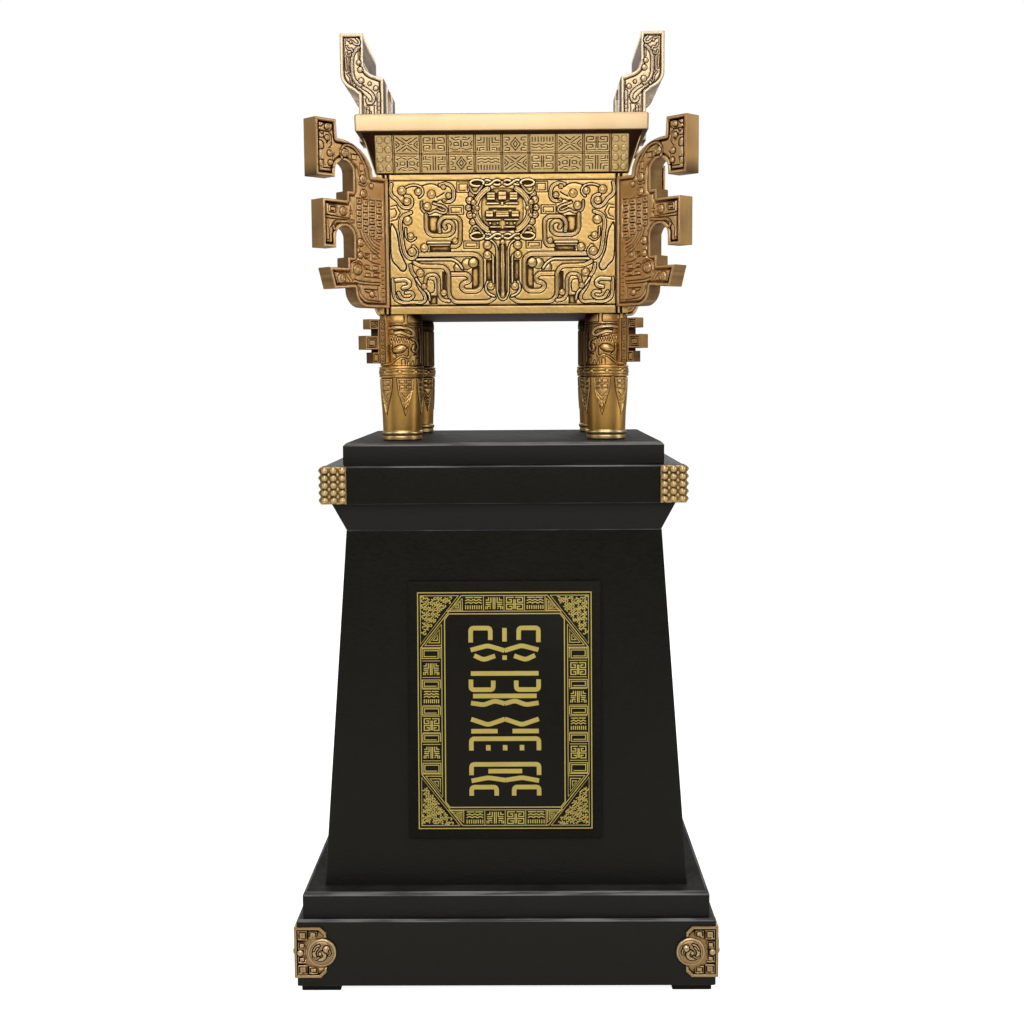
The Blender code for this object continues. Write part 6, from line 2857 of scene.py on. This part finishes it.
@dataclass
class Studio:
    """Floor, lights, surroundings and camera.

    Attributes:
        lens: Focal length in millimetres.
        place: Where the camera stands.
        pitch: How far it looks down, in degrees.
        yaw: How far it looks to the left.
        roll: How far it is tilted.
    """

    lens: float = 49.92
    place: Triple = (0.034, -2.415, 0.94195)
    pitch: float = 5.5508
    yaw: float = 0.565
    roll: float = 0.37

    def build_camera(self) -> None:
        """The camera at the photograph's viewing angle."""
        data = bpy.data.cameras.new("camera")
        data.lens, data.sensor_width = self.lens, 36.0
        data.clip_start, data.clip_end = 0.05, 60
        camera = new_object("camera", data)
        p, y, r = (math.radians(angle) for angle in (self.pitch, self.yaw, self.roll))
        ahead = Vector((-math.sin(y) * math.cos(p), math.cos(y) * math.cos(p), -math.sin(p)))
        right = Vector((math.cos(y), math.sin(y), 0))
        up = right.cross(ahead)
        across, upward = right * math.cos(r) - up * math.sin(r), right * math.sin(r) + up * math.cos(r)
        turn = Matrix((across, upward, -ahead)).transposed().to_4x4()
        camera.matrix_world = Matrix.Translation(self.place) @ turn
        bpy.context.scene.camera = camera

    def build_floor(self) -> None:
        """A plain pale floor."""
        form = bmesh.new()
        bmesh.ops.create_grid(form, x_segments=1, y_segments=1, size=30)
        floor = new_object("floor", finished(form, "floor"))
        floor.location.z = -0.0005
        material = bpy.data.materials.new("pale floor")
        material.use_nodes = True
        book = NodeBook(material.node_tree)
        seen = book.add("LightPath").outputs["Is Camera Ray"]
        book.feed(material.node_tree.nodes["Principled BSDF"], {
            "Base Color": (0.90, 0.90, 0.90, 1), "Roughness": 0.9, "Specular IOR Level": 0.0,
            "Emission Strength": 0.9, "Emission Color": book.blend(seen, (0, 0, 0, 1), (1, 1, 1, 1)),
        })
        floor.data.materials.append(material)

    def add_light(self, name: str, place: Sequence[float], target: Sequence[float], size: Point,
                  power: float) -> None:
        """A rectangular soft light.

        Args:
            name: Its name.
            place: Where it stands.
            target: What it points at.
            size: Its width and height in metres.
            power: Its power in watts.
        """
        data = bpy.data.lights.new(name, "AREA")
        data.shape, data.size, data.size_y = "RECTANGLE", *size
        data.energy = power
        light = new_object(name, data)
        light.location = place
        light.rotation_euler = (Vector(target) - Vector(place)).to_track_quat("-Z", "Y").to_euler()

    def build_world(self) -> None:
        """Soft grey surroundings for the light, plain white for the eye."""
        world = bpy.data.worlds.new("studio")
        world.use_nodes = True
        bpy.context.scene.world = world
        book = NodeBook(world.node_tree)
        seen = book.add("LightPath").outputs["Is Camera Ray"]
        colour = book.blend(seen, (0.17, 0.17, 0.175, 1), (1.0, 1.0, 1.0, 1))
        book.feed(world.node_tree.nodes["Background"], {"Color": colour})

    def build(self) -> None:
        """Makes everything that isn't the object."""
        self.build_camera()
        self.build_floor()
        self.build_world()
        self.add_light("front", (-0.45, -4.3, 3.0), (0, 0, 1.1), (4.8, 2.8), 81)
        self.add_light("top", (0.0, -0.9, 3.8), (0, 0, 0.9), (2.2, 2.0), 24)
        self.add_light("left", (-3.4, -0.8, 1.9), (0, 0, 1.0), (1.6, 2.6), 9)
        self.add_light("right", (3.4, -0.8, 1.9), (0, 0, 1.0), (1.6, 2.6), 17)
        self.add_light("back", (0.0, 4.2, 3.1), (0, 0, 1.2), (5.0, 2.4), 64)


def main() -> None:
    """Builds every piece, then the studio, logging each piece's triangle count."""
    logging.basicConfig(level=logging.INFO, format="%(name)s: %(message)s")
    builders = [
        DragonWall("front_wall", 0, BODY_HALF_Y, BODY_HALF_X, Medallion.STROKES, 0.5, 170000),
        DragonWall("right_wall", 90, BODY_HALF_X, BODY_HALF_Y, Medallion.WHORL, 0.75, 60000),
        DragonWall("back_wall", 180, BODY_HALF_Y, BODY_HALF_X, Medallion.WHORL, 0.75, 64000),
        DragonWall("left_wall", 270, BODY_HALF_X, BODY_HALF_Y, Medallion.WHORL, 0.75, 60000),
        Shell(),
        NeckTablet("neck_tablet_front", 0, BODY_HALF_Y, 196, 4, 44000),
        NeckTablet("neck_tablet_right", 90, BODY_HALF_X, 179, 0, 20000, 0.8),
        NeckTablet("neck_tablet_back", 180, BODY_HALF_Y, 196, 0, 20000, 0.8),
        NeckTablet("neck_tablet_left", 270, BODY_HALF_X, 179, 0, 20000, 0.8),
        CornerFlange(),
        Ears(),
        Legs(),
        Pedestal(),
        Plaque(),
        CapMounts(half=0.2745, wide=40.0, low=0.747, thick=2.2, budget=6500),
        PlinthMounts(half=0.3205, wide=49.5, low=0.0235, thick=3.0, budget=24000),
        Studio(),
    ]
    for builder in builders:
        LOG.info("building %s", type(builder).__name__)
        builder.build()
    bpy.context.scene.view_settings.view_transform = "Standard"


if __name__ == "__main__":
    main()
